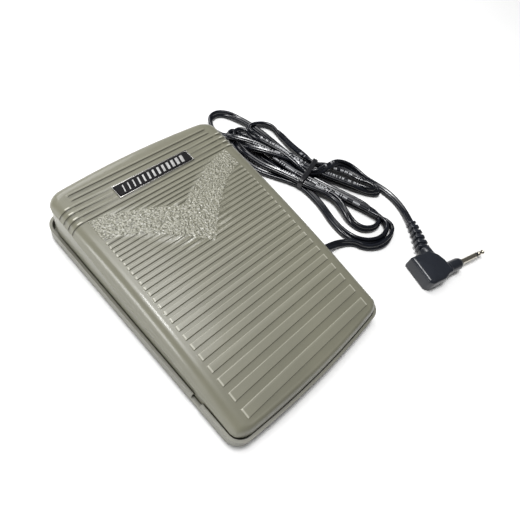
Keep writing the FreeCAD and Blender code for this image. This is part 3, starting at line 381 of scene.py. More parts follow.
def jacket(name):
    """Glossy black PVC, with a row of pale printed dashes along one face where the print mark is set."""
    material, tree, shader, place = new_material(name, Specular_IOR_Level=0.42)
    grain = node(tree, "ShaderNodeGroup", {"node_tree": moulded_grain}, Vector=place, Grains_per_metre=2600.0,
                 Cloud_size=60.0)
    along = node(tree, "ShaderNodeAttribute", {"attribute_name": "along"})
    print_mark = node(tree, "ShaderNodeAttribute", {"attribute_name": "print_mark"})
    step = node(tree, "ShaderNodeMath", {"operation": "MULTIPLY"}, n0=along.outputs["Fac"], n1=1150.0)
    letter = node(tree, "ShaderNodeTexWhiteNoise", {"noise_dimensions": "1D"})
    whole = node(tree, "ShaderNodeMath", {"operation": "FLOOR"}, n0=step.outputs[0])
    tree.links.new(whole.outputs[0], letter.inputs["W"])
    part = node(tree, "ShaderNodeMath", {"operation": "FRACT"}, n0=step.outputs[0])
    inked = node(tree, "ShaderNodeMath", {"operation": "LESS_THAN"}, n0=part.outputs[0], n1=0.62)
    present = node(tree, "ShaderNodeMath", {"operation": "GREATER_THAN"}, n0=letter.outputs["Value"], n1=0.42)
    both = node(tree, "ShaderNodeMath", {"operation": "MULTIPLY"}, n0=inked.outputs[0], n1=present.outputs[0])
    ink = node(tree, "ShaderNodeMath", {"operation": "MULTIPLY"}, n0=both.outputs[0],
               n1=print_mark.outputs["Fac"])
    finish = node(tree, "ShaderNodeGroup", {"node_tree": finish_with_painted_light}, Shade=(0.0065, 0.008, 0.013, 1.0),
                  Deep_shade=(0.003, 0.0036, 0.006, 1.0), Dust_colour=(0.06, 0.06, 0.07, 1.0),
                  Edge_colour=(0.60, 0.61, 0.63, 1.0), Cloud=grain.outputs["Cloud"],
                  Speck=grain.outputs["Speck"], Dust=0.04, Edge=ink.outputs[0], Recess=0.0, Roughness=0.08)
    grain_bump = node(tree, "ShaderNodeBump", Strength=0.25, Distance=0.00003, Height=grain.outputs["Cloud"])
    tree.links.new(finish.outputs["Colour"], shader.inputs["Base Color"])
    tree.links.new(finish.outputs["Roughness out"], shader.inputs["Roughness"])
    tree.links.new(grain_bump.outputs["Normal"], shader.inputs["Normal"])
    return material


cord_jacket = jacket("cord_jacket")
cord = surface("flat_cord", cord_grid, cord_jacket, capped=True)
ring_places = np.repeat(cord_places, cord_grid.shape[1])
hank_along = -0.32 * (cord_line[:, 0] / MM - TIE_X) + 0.947 * (cord_line[:, 1] / MM - TIE_Y)
either_side = (np.abs(hank_along) > 5) & (hank_along > -50) & (hank_along < 46)
printed = either_side & (cord_line[:, 2] > 4.6 * MM) & (cord_line[:, 0] > 85 * MM) & (on_edge < 0.25)
across_mark = np.exp(-((section_side - core_radius) / 0.85) ** 2) * (section_up > 0.5)
marks = printed[:, None] * across_mark[None, :]
ends = np.zeros(2)
point_values(cord, "along", np.concatenate([ring_places, ends]))
point_values(cord, "print_mark", np.concatenate([marks.ravel(), ends]))
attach(cord, "base")
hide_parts("cord_exit_run", "cord_hank", "cord_free_end")

# ---------------------------------------------------------------- cord tie
# A short length of black plastic-covered wire, wrapped twice round the hank and twisted on itself.
tie_half_width, tie_centre, tie_low, tie_high = 13.6, 1.5, 1.0, 8.3
turn_angle = np.linspace(0, 4 * np.pi, 193)
wide, tall = np.cos(turn_angle), np.sin(turn_angle)
power = 0.42
ring_across = tie_centre + tie_half_width * np.sign(wide) * np.abs(wide) ** power
ring_high = (tie_low + tie_high) / 2 + (tie_high - tie_low) / 2 * np.sign(tall) * np.abs(tall) ** power
ring_toeward = -1.2 + 2.4 * turn_angle / (4 * np.pi) + 0.25 * np.sin(3 * turn_angle)
tie_line = np.column_stack([TIE_X - 0.32 * ring_toeward + 0.947 * ring_across,
                            TIE_Y + 0.947 * ring_toeward + 0.32 * ring_across, ring_high]) * MM
tie_line = evenly(tie_line, 0.7 * MM)[0]
tie_along = np.gradient(tie_line, axis=0)
tie_along /= np.linalg.norm(tie_along, axis=1)[:, None]
hank_axis = np.array([-0.32, 0.947, 0.0])
tie_out = np.cross(tie_along, hank_axis)
tie_out /= np.linalg.norm(tie_out, axis=1)[:, None]
oval = np.linspace(0, 2 * np.pi, 13)[:-1]
tie_grid = (tie_line[:, None, :] + hank_axis[None, None, :] * (1.15 * np.cos(oval))[None, :, None] * MM
            + tie_out[:, None, :] * (0.55 * np.sin(oval))[None, :, None] * MM)
tie_plastic = finished("tie_plastic", (0.012, 0.013, 0.016), (0.006, 0.006, 0.008), 0.28, grains=3000.0,
                       dust=0.05, dust_colour=(0.1, 0.1, 0.1, 1.0))
tie = surface("cord_tie_wrap", tie_grid, tie_plastic, capped=True)
outward(tie)
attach(tie, "base")
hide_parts("cord_tie")

# ---------------------------------------------------------------- plug strain relief
# The tail of the plug's moulding: a row of stepped collars joined by thin webs, so that it bends with the
# cord, tapering from the plug's collar to the cord. Moulded in one shot with the plug body.
relief_line, relief_places = evenly(spline_points(relief_route, "relief_route"), 0.22 * MM)
relief_share = relief_places / relief_places[-1]
collar = np.clip(np.abs(((relief_share * 5.0) % 1.0) - 0.5) * 7.0 - 1.0, 0, 1)
collar = collar * collar * (3 - 2 * collar)
webbed = (relief_share > 0.04) * (relief_share < 0.97)
relief_radius = (2.9 + 1.3 * relief_share) * (1.0 - 0.42 * (1 - collar) * webbed)
spin = np.linspace(0, 2 * np.pi, 29)[:-1]
_, relief_side, relief_up = sweep_frame(relief_line)
squared = (np.abs(np.cos(spin)) ** 4 + np.abs(np.sin(spin)) ** 4) ** -0.25
sideways = relief_radius[:, None] * (np.cos(spin) * squared)[None, :]
upwards = relief_radius[:, None] * (np.sin(spin) * squared)[None, :]
relief_grid = (relief_line[:, None, :] + relief_side[:, None, :] * sideways[..., None] * MM
               + relief_up[:, None, :] * upwards[..., None] * 0.94 * MM)
relief_grid[..., 2] = np.maximum(relief_grid[..., 2], 0.1 * MM)
plug_plastic = finished("plug_plastic", (0.010, 0.013, 0.020), (0.006, 0.0075, 0.012), 0.30, grains=1400.0,
                        bump=0.35, dust=0.05, dust_colour=(0.10, 0.10, 0.11, 1.0), Specular_IOR_Level=0.55)
strain_relief = surface("plug_relief", relief_grid, plug_plastic, capped=True)
outward(strain_relief)
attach(strain_relief, "base")
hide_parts("plug_strain_relief")

# ---------------------------------------------------------------- treadle cover
# The pressed part: one thin shell injection moulded in satin olive-grey plastic. Raised on its top are 24 grip
# bars that widen towards the heel, a V-shaped grained field and fine ribs, of which four wrap over the rounded
# shoulder. Below the shoulder a plain skirt hangs inside the tray.
FIELD_HALF = 46.4
SHOULDER_START = 48.6
SIDE_SHOULDER = 7.3
END_SHOULDER = 3.6
TOE_SHOULDER = 6.4
TOE_LEAN = 2.2
CORNER = 3.0
bar_middle = np.array([33.8 - 2.42 * i - 1.69 * (np.exp(3.4 * i / 23) - 1) for i in range(24)])
bar_pitch = np.abs(np.gradient(bar_middle))
bar_low = bar_middle - 0.28 * bar_pitch
bar_high = bar_middle + 0.28 * bar_pitch
vee_ribs = np.array([33.6, 36.2, 38.7, 41.35, 44.0, 46.8])
toe_ribs = np.array([50.4, 54.0, 57.7, 61.3, 64.95, 68.55])
RIB_WIDTH = 1.2
RELIEF = 0.55


def top_height(y):
    """The long curve of the top: a parabola, lowest at the heel and flattening out at the toe."""
    return 30.1 + 0.115 * y - 4.3 * (y / 80) ** 2


def crease_height(y):
    """The straight line, rising to the toe, where the shoulder ends and the skirt begins."""
    return 21.1 + 0.136 * y


def ease(low, high, value):
    """0 below low, 1 above high, an S-curve between."""
    t = np.clip((value - low) / (high - low), 0, 1)
    return t * t * (3 - 2 * t)


def ribs(y, heel_edges, width, wall=0.16):
    """1 on ribs of that width standing toeward of the given edges, 0 between them, with S-curved walls."""
    found = np.zeros_like(y)
    for edge in heel_edges:
        far_edge = edge + width
        rib = ease(edge - wall, edge + wall, y) * (1 - ease(far_edge - wall, far_edge + wall, y))
        found = np.maximum(found, rib)
    return found


def edge_rows(places, spread):
    """Rows of the grid just below, at and just above each place."""
    return (np.asarray(places)[:, None] + np.asarray(spread)[None, :]).ravel()


rows = [np.linspace(-77.55, -74.2, 7), np.arange(-73.6, 70, 2.0), np.arange(3.5, 50.2, 0.42),
        np.linspace(70.0, 72.55, 7)]
rows.append(edge_rows(np.concatenate([bar_low, bar_high]), [-0.26, -0.15, -0.06, 0.06, 0.15, 0.26]))
rib_spread = [-0.3, -0.16, -0.06, 0.06, 0.16, 0.3, 0.9, 1.04, 1.14, 1.26, 1.36, 1.5]
rows.append(edge_rows(vee_ribs, rib_spread))
rows.append(edge_rows(toe_ribs, rib_spread))
rows = np.sort(np.concatenate(rows))
keep = [0]
for k in range(1, len(rows)):
    if rows[k] - rows[keep[-1]] > 0.085:
        keep.append(k)
rows = rows[keep]

# Columns follow the two edges of the V: an inner part, the grained band on each side, and an outer part.
vee_inner = FIELD_HALF * (1 - (1 - np.clip((rows - 31.3) / 18.6, 0, 1)) ** (1 / 1.4))
vee_outer = FIELD_HALF * (1 - (1 - np.clip((rows - 4.5) / 32, 0, 1)) ** (1 / 1.5))
inner_line = np.clip(vee_inner, 1.2, 42.5)
outer_line = np.clip(vee_outer, inner_line + 2.0, 45.4)
inner_share, band_share = np.linspace(0, 1, 4), np.linspace(0, 1, 75)
outer_share = np.array([0, 0.3, 0.6, 0.85, 0.985, 1.0])
half_columns = np.concatenate([
    inner_line[:, None] * inner_share[None, :-1],
    inner_line[:, None] + (outer_line - inner_line)[:, None] * band_share[None, :],
    outer_line[:, None] + (FIELD_HALF - 0.22 - outer_line)[:, None] * outer_share[None, 1:],
    np.broadcast_to([46.4, 46.55, 46.75, 47.1, 47.6, 48.1, 48.4, 48.6], (len(rows), 8)),
], axis=1)
columns = np.concatenate([-half_columns[:, :0:-1], half_columns], axis=1)


def end_line(x, inset):
    """The bowed toe or heel edge of the shoulder's foot, drawn in by inset."""
    return 78.15 + 3.0 * (1 - (x / 55.9) ** 2) - inset


def border_line(x, inset):
    """The panel's own toe or heel border: the bowed end line with its corners rounded."""
    past = np.clip(np.abs(x) - (SHOULDER_START - CORNER), 0, CORNER * 0.9999)
    return end_line(x, inset) - CORNER + np.sqrt(CORNER ** 2 - past ** 2)


# The rows at the two ends are squeezed so that the last ones follow the rounded borders.
plan_x = columns
away_x = np.abs(plan_x)
plan_y = np.repeat(rows[:, None], columns.shape[1], 1)
heel_start = -73.5 + 8.0 * ease(46.5, 47.0, away_x)
toe_start = 70.0 - 6.0 * ease(45.4, 46.8, away_x)
heel_border = -border_line(plan_x, END_SHOULDER)
toe_border = border_line(plan_x, TOE_SHOULDER + TOE_LEAN)
heel_squeezed = heel_start + (plan_y - heel_start) * (heel_border - heel_start) / (rows[0] - heel_start)
toe_squeezed = toe_start + (plan_y - toe_start) * (toe_border - toe_start) / (rows[-1] - toe_start)
plan_y = np.where(plan_y < heel_start, heel_squeezed, np.where(plan_y > toe_start, toe_squeezed, plan_y))

bars = np.zeros_like(plan_y)
for low, high in zip(bar_low, bar_high):
    bar = ease(low - 0.14, low + 0.14, plan_y) * (1 - ease(high - 0.14, high + 0.14, plan_y))
    bars = np.maximum(bars, bar)
bar_zone = 1 - ease(35.2, 35.6, plan_y)
field = 1 - ease(FIELD_HALF - 0.02, FIELD_HALF + 0.36, away_x)
vee_upper = 31.3 + 18.6 * (1 - (1 - np.clip(away_x / FIELD_HALF, 0, 1)) ** 1.4)
vee_lower = 4.5 + 32.0 * (1 - (1 - np.clip(away_x / FIELD_HALF, 0, 1)) ** 1.5)
grained = ease(-0.3, 0.3, plan_y - vee_lower) * ease(-0.3, 0.3, vee_upper - plan_y) * field
inside_vee = ease(-0.2, 0.3, plan_y - vee_upper)
pebble_draw = np.random.default_rng(11)
knots = pebble_draw.random((140, 120))


def pebbles(x, y, size):
    """Rounded grains of the mould's etched field: random heights on a square lattice of that size, joined by
    S-curves between neighbours, so each grain is a soft bump."""
    u, v = x / size + 60.0, y / size + 40.0
    i, j = np.floor(u).astype(int), np.floor(v).astype(int)
    fu, fv = u - i, v - j
    fu, fv = fu * fu * (3 - 2 * fu), fv * fv * (3 - 2 * fv)
    near_u, far_u, near_v, far_v = i % 140, (i + 1) % 140, j % 120, (j + 1) % 120
    low = knots[near_u, near_v] * (1 - fu) + knots[far_u, near_v] * fu
    high = knots[near_u, far_v] * (1 - fu) + knots[far_u, far_v] * fu
    return low * (1 - fv) + high * fv


turned_x, turned_y = plan_x * 0.8 - plan_y * 0.6, plan_x * 0.6 + plan_y * 0.8
grain_height = pebbles(turned_x, turned_y, 0.72) * 1.1 + pebbles(plan_x, plan_y, 1.3) * 0.3 - 0.8

beside_plate = ribs(plan_y, toe_ribs[1:4], RIB_WIDTH) * ease(30.9, 32.1, away_x)
wraps = np.maximum(ribs(plan_y, toe_ribs[:1], RIB_WIDTH), beside_plate)
fading = ribs(plan_y, toe_ribs[4:], RIB_WIDTH) * (1 - ease(44.4, 47.0, away_x))
plate_boss = ease(51.9, 52.3, plan_y) * (1 - ease(61.8, 62.2, plan_y)) * (1 - ease(25.6, 26.0, away_x))
outside = np.where(plan_y < vee_lower, bars * bar_zone, 0.0)
within_vee = np.maximum(ribs(plan_y, vee_ribs, RIB_WIDTH), bars * bar_zone) * inside_vee
middle = np.where(inside_vee > 0, within_vee, 0.0) * (plan_y < 49.0)
features = np.maximum(outside, middle) * field * (1 - grained)
features = np.maximum(np.maximum(features, np.maximum(wraps, fading)), plate_boss)
relief_height = RELIEF * (features - 1) + grained * (0.30 + 0.40 * grain_height) - 0.02
panel = np.stack([plan_x, plan_y, top_height(plan_y) + relief_height], -1)

# The rim: the panel's border carried outwards over the shoulder, down the skirt and round its lower lip.
row_count, column_count = panel.shape[:2]
heel_turn = np.clip(away_x[0] - (SHOULDER_START - CORNER), 0, CORNER) / CORNER
end_heading = np.column_stack([heel_turn * np.sign(plan_x[0]), np.sqrt(1 - heel_turn ** 2)])
side_heading = np.repeat([[1.0, 0.0]], row_count - 2, 0)
border = np.vstack([panel[0], panel[1:-1, -1], panel[-1, ::-1], panel[-2:0:-1, 0]])
heading = np.vstack([end_heading * (1, -1), side_heading, end_heading[::-1], -side_heading])
end_reach = np.where(border[:, 1] > 0, TOE_SHOULDER, END_SHOULDER)
lean = np.where(border[:, 1] > 0, TOE_LEAN, 0.0) * np.clip(heading[:, 1], 0, 1)
full = np.column_stack([heading[:, 0] * SIDE_SHOULDER, heading[:, 1] * end_reach])
turn_down = np.linspace(0, np.pi / 2, 15)
on_side = np.abs(heading[:, 0]) > 0.99
side_ribs = ribs(border[:, 1], toe_ribs[:4], RIB_WIDTH)
panel_rise = border[:, 2] - top_height(border[:, 1])
shoulder = []
for angle in turn_down:
    out = np.sin(angle) ** 0.88
    fall = 1 - np.cos(angle) ** 1.12
    x = border[:, 0] + full[:, 0] * out
    y = border[:, 1] + full[:, 1] * out
    crown = top_height(np.clip(border[:, 1], -90, 90)) + panel_rise * (1 - fall)
    foot = crease_height(y) - 2.4 * np.clip(heading[:, 1], 0, 1) * (border[:, 1] > 0)
    stand_out = (RELIEF * side_ribs * on_side - RELIEF * on_side) * (1 - ease(0.80, 1.0, fall)) * out
    shoulder.append(np.column_stack([x + heading[:, 0] * stand_out, y, crown + (foot - crown) * fall]))
crease = shoulder[-1]


def skirt_ring(offset, height):
    """A ring under the crease, that far outwards (negative: inwards), at the given heights. At the toe it
    leans outwards, the more the lower it is."""
    ring = crease.copy()
    ring[:, :2] += heading * offset
    ring[:, 1] += lean * np.clip((crease[:, 2] - height) / 24.0, 0, 1)
    ring[:, 2] = height
    return ring


lip = 6.7 + 0.0275 * crease[:, 1]
cord_notch = (heading[:, 0] > 0.99) * ease(-36.6, -35.6, crease[:, 1]) * (1 - ease(-24.4, -23.4, crease[:, 1]))
lip = lip + (11.8 - lip) * cord_notch
crease_level = crease[:, 2]
rings = shoulder + [
    skirt_ring(-0.10, crease_level - 0.16),
    skirt_ring(-0.38, crease_level - 0.30),
    skirt_ring(-0.40, crease_level - 0.50),
    skirt_ring(-0.38, crease_level * 0.5 + lip * 0.5),
    skirt_ring(-0.35, lip + 0.7),
    skirt_ring(-0.42, lip + 0.25),
    skirt_ring(-0.72, lip),
    skirt_ring(-1.9, lip),
    skirt_ring(-2.3, lip + 0.3),
    skirt_ring(-2.5, lip * 0.4 + (crease_level - 1.5) * 0.6),
    skirt_ring(-3.0, crease_level - 1.0),
]
inner_edge = border[:, :2] - heading * 0.5
for shrink in (1.0, 0.9, 0.75, 0.6, 0.4, 0.2, 0.08):
    ring = inner_edge * shrink
    rings.append(np.column_stack([ring, top_height(ring[:, 1]) - 2.6]))
rim = np.stack(rings)

cover_plastic, tree, shader, place = new_material("cover_satin_plastic", Specular_IOR_Level=0.5,
                                                  Coat_Weight=0.22, Coat_Roughness=0.10)
grain = node(tree, "ShaderNodeGroup", {"node_tree": moulded_grain}, Vector=place, Grains_per_metre=2400.0,
             Cloud_size=22.0)
# The cover's colour holds painted light: the pebbles' tips and the highlight mask mix towards the pale edge
# colour as painted glints and highlights, and the pebbles' pits and the shade mask mix towards the near-black
# recess colour as painted shade.
pebble_mark = node(tree, "ShaderNodeAttribute", {"attribute_name": "grained"})
highlight_mark = node(tree, "ShaderNodeAttribute", {"attribute_name": "painted_highlight"})
shade_mark = node(tree, "ShaderNodeAttribute", {"attribute_name": "recess"})
etched = node(tree, "ShaderNodeTexNoise", Vector=place, Scale=1250.0, Detail=1.0, Roughness=0.5)
etched_high = node(tree, "ShaderNodeMapRange", Value=etched.outputs["Fac"], From_Min=0.44, From_Max=0.60)
etched_deep = node(tree, "ShaderNodeMapRange", Value=etched.outputs["Fac"], From_Min=0.48, From_Max=0.36)
pebble_glints = node(tree, "ShaderNodeMath", {"operation": "MULTIPLY"}, n0=etched_high.outputs[0],
            n1=pebble_mark.outputs["Fac"])
glints_and_highlights = node(tree, "ShaderNodeMath", {"operation": "MULTIPLY_ADD", "use_clamp": True},
                 n0=pebble_glints.outputs[0], n1=0.30, n2=highlight_mark.outputs["Fac"])
pebble_pit_shade = node(tree, "ShaderNodeMath", {"operation": "MULTIPLY"}, n0=etched_deep.outputs[0],
            n1=pebble_mark.outputs["Fac"])
all_painted_shade = node(tree, "ShaderNodeMath", {"operation": "MULTIPLY_ADD", "use_clamp": True},
                  n0=pebble_pit_shade.outputs[0], n1=0.55, n2=shade_mark.outputs["Fac"])
finish = node(tree, "ShaderNodeGroup", {"node_tree": finish_with_painted_light}, Shade=(0.172, 0.168, 0.122, 1.0),
              Deep_shade=(0.152, 0.149, 0.109, 1.0), Dust_colour=(0.25, 0.245, 0.21, 1.0),
              Edge_colour=(0.66, 0.65, 0.56, 1.0), Recess_colour=(0.052, 0.051, 0.036, 1.0),
              Cloud=grain.outputs["Cloud"], Speck=grain.outputs["Speck"], Dust=0.10, Edge=glints_and_highlights.outputs[0],
              Recess=all_painted_shade.outputs[0], Roughness=0.30)
pebble_height = node(tree, "ShaderNodeMath", {"operation": "MULTIPLY"}, n0=etched.outputs["Fac"],
                     n1=pebble_mark.outputs["Fac"])
whole_height = node(tree, "ShaderNodeMath", {"operation": "MULTIPLY_ADD"}, n0=pebble_height.outputs[0],
                    n1=14.0, n2=grain.outputs["Height"])
cover_bump = node(tree, "ShaderNodeBump", Strength=0.35, Distance=0.00003, Height=whole_height.outputs[0])
tree.links.new(finish.outputs["Colour"], shader.inputs["Base Color"])
tree.links.new(finish.outputs["Roughness out"], shader.inputs["Roughness"])
tree.links.new(cover_bump.outputs["Normal"], shader.inputs["Normal"])


points = np.vstack([panel.reshape(-1, 3), rim.reshape(-1, 3)])
faces = np.vstack([grid_faces(row_count, column_count),
                   grid_faces(len(rim), rim.shape[1], panel.size // 3, True)[:, ::-1]])
last_ring = np.arange(rim.shape[1]) + panel.size // 3 + (len(rim) - 1) * rim.shape[1]
centre_fan = np.stack([last_ring, np.roll(last_ring, -1), np.full(len(last_ring), len(points))], -1)
points = np.vstack([points, [[0.0, 0.0, top_height(0.0) - 2.6]]])
cover_mesh = bpy.data.meshes.new("treadle_cover_shell")
cover_mesh.from_pydata((points * MM).tolist(), [], faces.tolist() + centre_fan.tolist())
cover_mesh.shade_smooth()
cover_mesh.materials.append(cover_plastic)
cover = bpy.data.objects.new("treadle_cover_shell", cover_mesh)
bpy.context.scene.collection.objects.link(cover)
toeward_edges = np.concatenate([bar_high, vee_ribs + RIB_WIDTH, toe_ribs + RIB_WIDTH])
heelward_edges = np.concatenate([bar_low, vee_ribs, toe_ribs])


def near(y, edges, reach):
    """1 on the nearest of the edges, falling to 0 over that reach."""
    away = np.min(np.abs(y[..., None] - edges), axis=-1)
    return np.clip(1 - (away / reach) ** 2, 0, 1)


# Painted highlight: a lighter line along the toeward edge of each bar and rib, lighter ends of the bars and
# slightly lighter raised tops, placed where the lamps fall.
relief_here = ease(0.05, 0.6, features) * (1 - grained)
bar_end_highlight = near(away_x, np.array([FIELD_HALF - 0.1]), 0.35) * outside
highlight_paint = 0.34 * near(plan_y, toeward_edges, 0.30) * relief_here + 0.5 * bar_end_highlight * relief_here + 0.05 * features
# Painted shade at the heelward foot of each bar and rib, and a painted shadow line at two edges of the
# nameplate's boss.
on_bars = ease(0, 1, bars) * (plan_y < 35.4)
on_ribs = np.maximum(ribs(plan_y, vee_ribs - 0.3, 1.8), ribs(plan_y, toe_ribs - 0.3, 1.8))
beside_relief = ease(0.0, 0.2, np.maximum(on_bars, on_ribs))
heelward_feet = near(plan_y, heelward_edges - 0.12, 0.26)
recess = 0.75 * heelward_feet * (1 - plate_boss) * beside_relief * (1 - grained) * field
recess = np.maximum(recess, 0.5 * near(plan_y, np.array([52.5, 61.5]), 0.35) * (away_x < 25.8))
# Over the shoulder the four ribs keep a painted shade at their feet, and get a painted highlight where they
# start to bend down.
side_highlight_paint, side_painted_shade = np.zeros(rim.shape[:2]), np.zeros(rim.shape[:2])
side_highlight_paint[1:4] = 0.8 * ribs(border[:, 1], toe_ribs[:4] + 0.35, 0.9) * on_side
side_painted_shade[:13] = 0.65 * near(border[:, 1], toe_ribs[:4] - 0.15, 0.4) * on_side
point_values(cover, "painted_highlight", np.concatenate([highlight_paint.ravel(), side_highlight_paint.ravel(), [0.0]]))
point_values(cover, "recess", np.concatenate([recess.ravel(), side_painted_shade.ravel(), [0.0]]))
point_values(cover, "grained", np.concatenate([grained.ravel(), np.zeros(side_highlight_paint.size + 1)]))
outward(cover, 2e-6)
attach(cover, "treadle")
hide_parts("treadle_cover")

# ---------------------------------------------------------------- nameplate
# A stamped bright frame snapped into the top, round a flat black insert. It carries a generic speed scale:
# a row of slanted silver strokes that grow in width.
bright_metal = finished("nameplate_bright", (0.62, 0.61, 0.59), (0.46, 0.45, 0.43), 0.24, grains=2200.0,
                        bump=0.15, dust=0.05, Metallic=1.0)
insert_black = finished("nameplate_black_enamel", (0.010, 0.010, 0.011), (0.006, 0.006, 0.007), 0.42,
                        grains=1500.0, bump=0.1, dust=0.03, dust_colour=(0.1, 0.1, 0.1, 1.0),
                        Specular_IOR_Level=0.08)
paint(insert_black, "nameplate_insert")
frame_low, frame_high = (np.array(c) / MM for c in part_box("nameplate_frame"))
corner_x = np.array([frame_low[0], frame_high[0], frame_high[0], frame_low[0]])
corner_y = np.array([frame_low[1], frame_low[1], frame_high[1], frame_high[1]])
inward_x, inward_y = np.array([1, -1, -1, 1.0]), np.array([1, 1, -1, -1.0])
profile = np.array([(0.0, -0.5), (0.0, 0.28), (0.08, 0.44), (0.2, 0.5), (0.34, 0.5), (0.46, 0.44),
                    (0.56, 0.28), (0.62, 0.08), (0.95, 0.06), (1.0, -0.5)])
side_share = np.linspace(0, 1, 25)[:-1]
ring_x, ring_y, in_x, in_y = [
    np.concatenate([values[k] * (1 - side_share) + values[(k + 1) % 4] * side_share for k in range(4)])
    for values in (corner_x, corner_y, inward_x, inward_y)]
# Away from the corners only the across part of the inward direction counts.
along_x = np.repeat([1.0, 0.0, 1.0, 0.0], 24)
at_corner = np.arange(96) % 24 == 0
in_x = np.where((along_x == 1) & ~at_corner, 0, np.sign(in_x))
in_y = np.where((along_x == 0) & ~at_corner, 0, np.sign(in_y))
frame_x = ring_x[None, :] + profile[:, :1] * in_x[None, :]
frame_y = ring_y[None, :] + profile[:, :1] * in_y[None, :]
frame_grid = np.stack([frame_x, frame_y, top_height(frame_y) + profile[:, 1:]], -1) * MM
frame_grid = np.concatenate([frame_grid, frame_grid[:1]])
plate_frame = surface("nameplate_bezel", frame_grid, bright_metal)
outward(plate_frame)
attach(plate_frame, "treadle")
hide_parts("nameplate_frame")
plate_low, plate_high = (np.array(c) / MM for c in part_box("nameplate_insert"))
stroke_count = 13
stroke_left = -20.9 + np.arange(stroke_count) * 3.2
stroke_width = np.linspace(0.55, 2.0, stroke_count)
plate_middle = (plate_low[1] + plate_high[1]) / 2
# Each stroke is a leaning six-faced slab: four corners below, the same four above.
slant = np.array([0.0, 0.0, 1.1, 1.1])
widened = np.array([0.0, 1.0, 1.0, 0.0])
corner_lift = np.array([[-0.10], [0.05]])
stroke_x = (stroke_left[:, None] + (stroke_width[:, None] * widened + slant))[:, None, :] + 0 * corner_lift
stroke_y = plate_middle + np.array([-2.3, -2.3, 2.3, 2.3]) + 0 * stroke_x
stroke_grid = np.stack([stroke_x, stroke_y, top_height(stroke_y) + 0.45 + corner_lift], -1)
slab = np.array([(4, 5, 6, 7), (3, 2, 1, 0), (0, 1, 5, 4), (1, 2, 6, 5), (2, 3, 7, 6), (3, 0, 4, 7)])
stroke_faces = (8 * np.arange(stroke_count)[:, None, None] + slab).reshape(-1, 4)
stroke_mesh = bpy.data.meshes.new("speed_scale")
stroke_mesh.from_pydata((stroke_grid.reshape(-1, 3) * MM).tolist(), [], stroke_faces.tolist())
silver_ink = finished("scale_silver_ink", (0.62, 0.62, 0.61), (0.40, 0.40, 0.40), 0.34, grains=3000.0,
                      clouds=400.0, dust=0.1, Metallic=0.6)
stroke_mesh.materials.append(silver_ink)
strokes = bpy.data.objects.new("speed_scale", stroke_mesh)
bpy.context.scene.collection.objects.link(strokes)
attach(strokes, "treadle")

# ---------------------------------------------------------------- base tray and feet
# The tray: a shallow injection moulded box in the same olive-grey plastic, slightly darker, that stands on
# four soft rubber feet pressed into its floor.
tray_plastic = finished("tray_satin_plastic", (0.165, 0.163, 0.128), (0.142, 0.140, 0.110), 0.42,
                        grains=2400.0, clouds=24.0, bump=0.3, dust=0.2)
foot_rubber = finished("foot_rubber", (0.030, 0.030, 0.032), (0.018, 0.018, 0.019), 0.72, grains=2600.0,
                       bump=0.5, dust=0.5, dust_colour=(0.16, 0.155, 0.14, 1.0))
paint(tray_plastic, "base_tray")
paint(foot_rubber, "rubber_feet", "heel_stop_pads", "toe_stop_bumpers", "cord_grommet")

# ---------------------------------------------------------------- hinge, springs and screws
# The treadle turns on a drawn steel rod held by two sprung clips, and is pushed up by two coil springs of
# spring wire. Zinc plated screws hold the boards, the clamp and the sector.
rod_steel = finished("zinc_plated_steel", (0.62, 0.62, 0.60), (0.45, 0.45, 0.44), 0.34, grains=1600.0,
                     dust=0.15, Metallic=1.0)
spring_wire = finished("spring_wire", (0.36, 0.36, 0.37), (0.25, 0.25, 0.26), 0.30, grains=2600.0, dust=0.1,
                       Metallic=1.0)
paint(rod_steel, "hinge_rod", "sector_screws", "board_screws", "bracket_screws", "clamp_screws",
      "potentiometer_shaft", "potentiometer_nut", "potentiometer_bracket")
paint(spring_wire, "hinge_clips", "return_spring_left", "return_spring_right")

# ---------------------------------------------------------------- speed control
# Inside: a toothed sector on the treadle turns a small pinion on a potentiometer's shaft, and a small
# board with its parts passes the setting to the cord. Moulded, soldered and screwed parts.
gear_plastic = finished("gear_natural_acetal", (0.74, 0.72, 0.65), (0.64, 0.62, 0.55), 0.38, grains=1200.0,
                        dust=0.1)
component_black = finished("component_black", (0.020, 0.020, 0.022), (0.012, 0.012, 0.013), 0.42,
                           grains=2600.0)
board_green = finished("board_green", (0.020, 0.16, 0.065), (0.012, 0.11, 0.045), 0.30, grains=900.0,
                       clouds=120.0)
terminal_green = finished("terminal_green", (0.03, 0.30, 0.16), (0.02, 0.24, 0.12), 0.36, grains=2200.0)
resistor_body = finished("resistor_tan", (0.60, 0.46, 0.28), (0.50, 0.37, 0.21), 0.45, grains=2600.0)
wire_red = finished("wire_red", (0.42, 0.02, 0.016), (0.32, 0.014, 0.012), 0.34, grains=2600.0)
paint(gear_plastic, "rack_sector", "pinion")
paint(component_black, "potentiometer_body", "transistor", "capacitor", "cord_clamp", "cord_inner")
paint(board_green, "circuit_board")
paint(terminal_green, "terminal_block")
paint(resistor_body, "resistors")
paint(wire_red, "sensor_leads", "cord_cores")

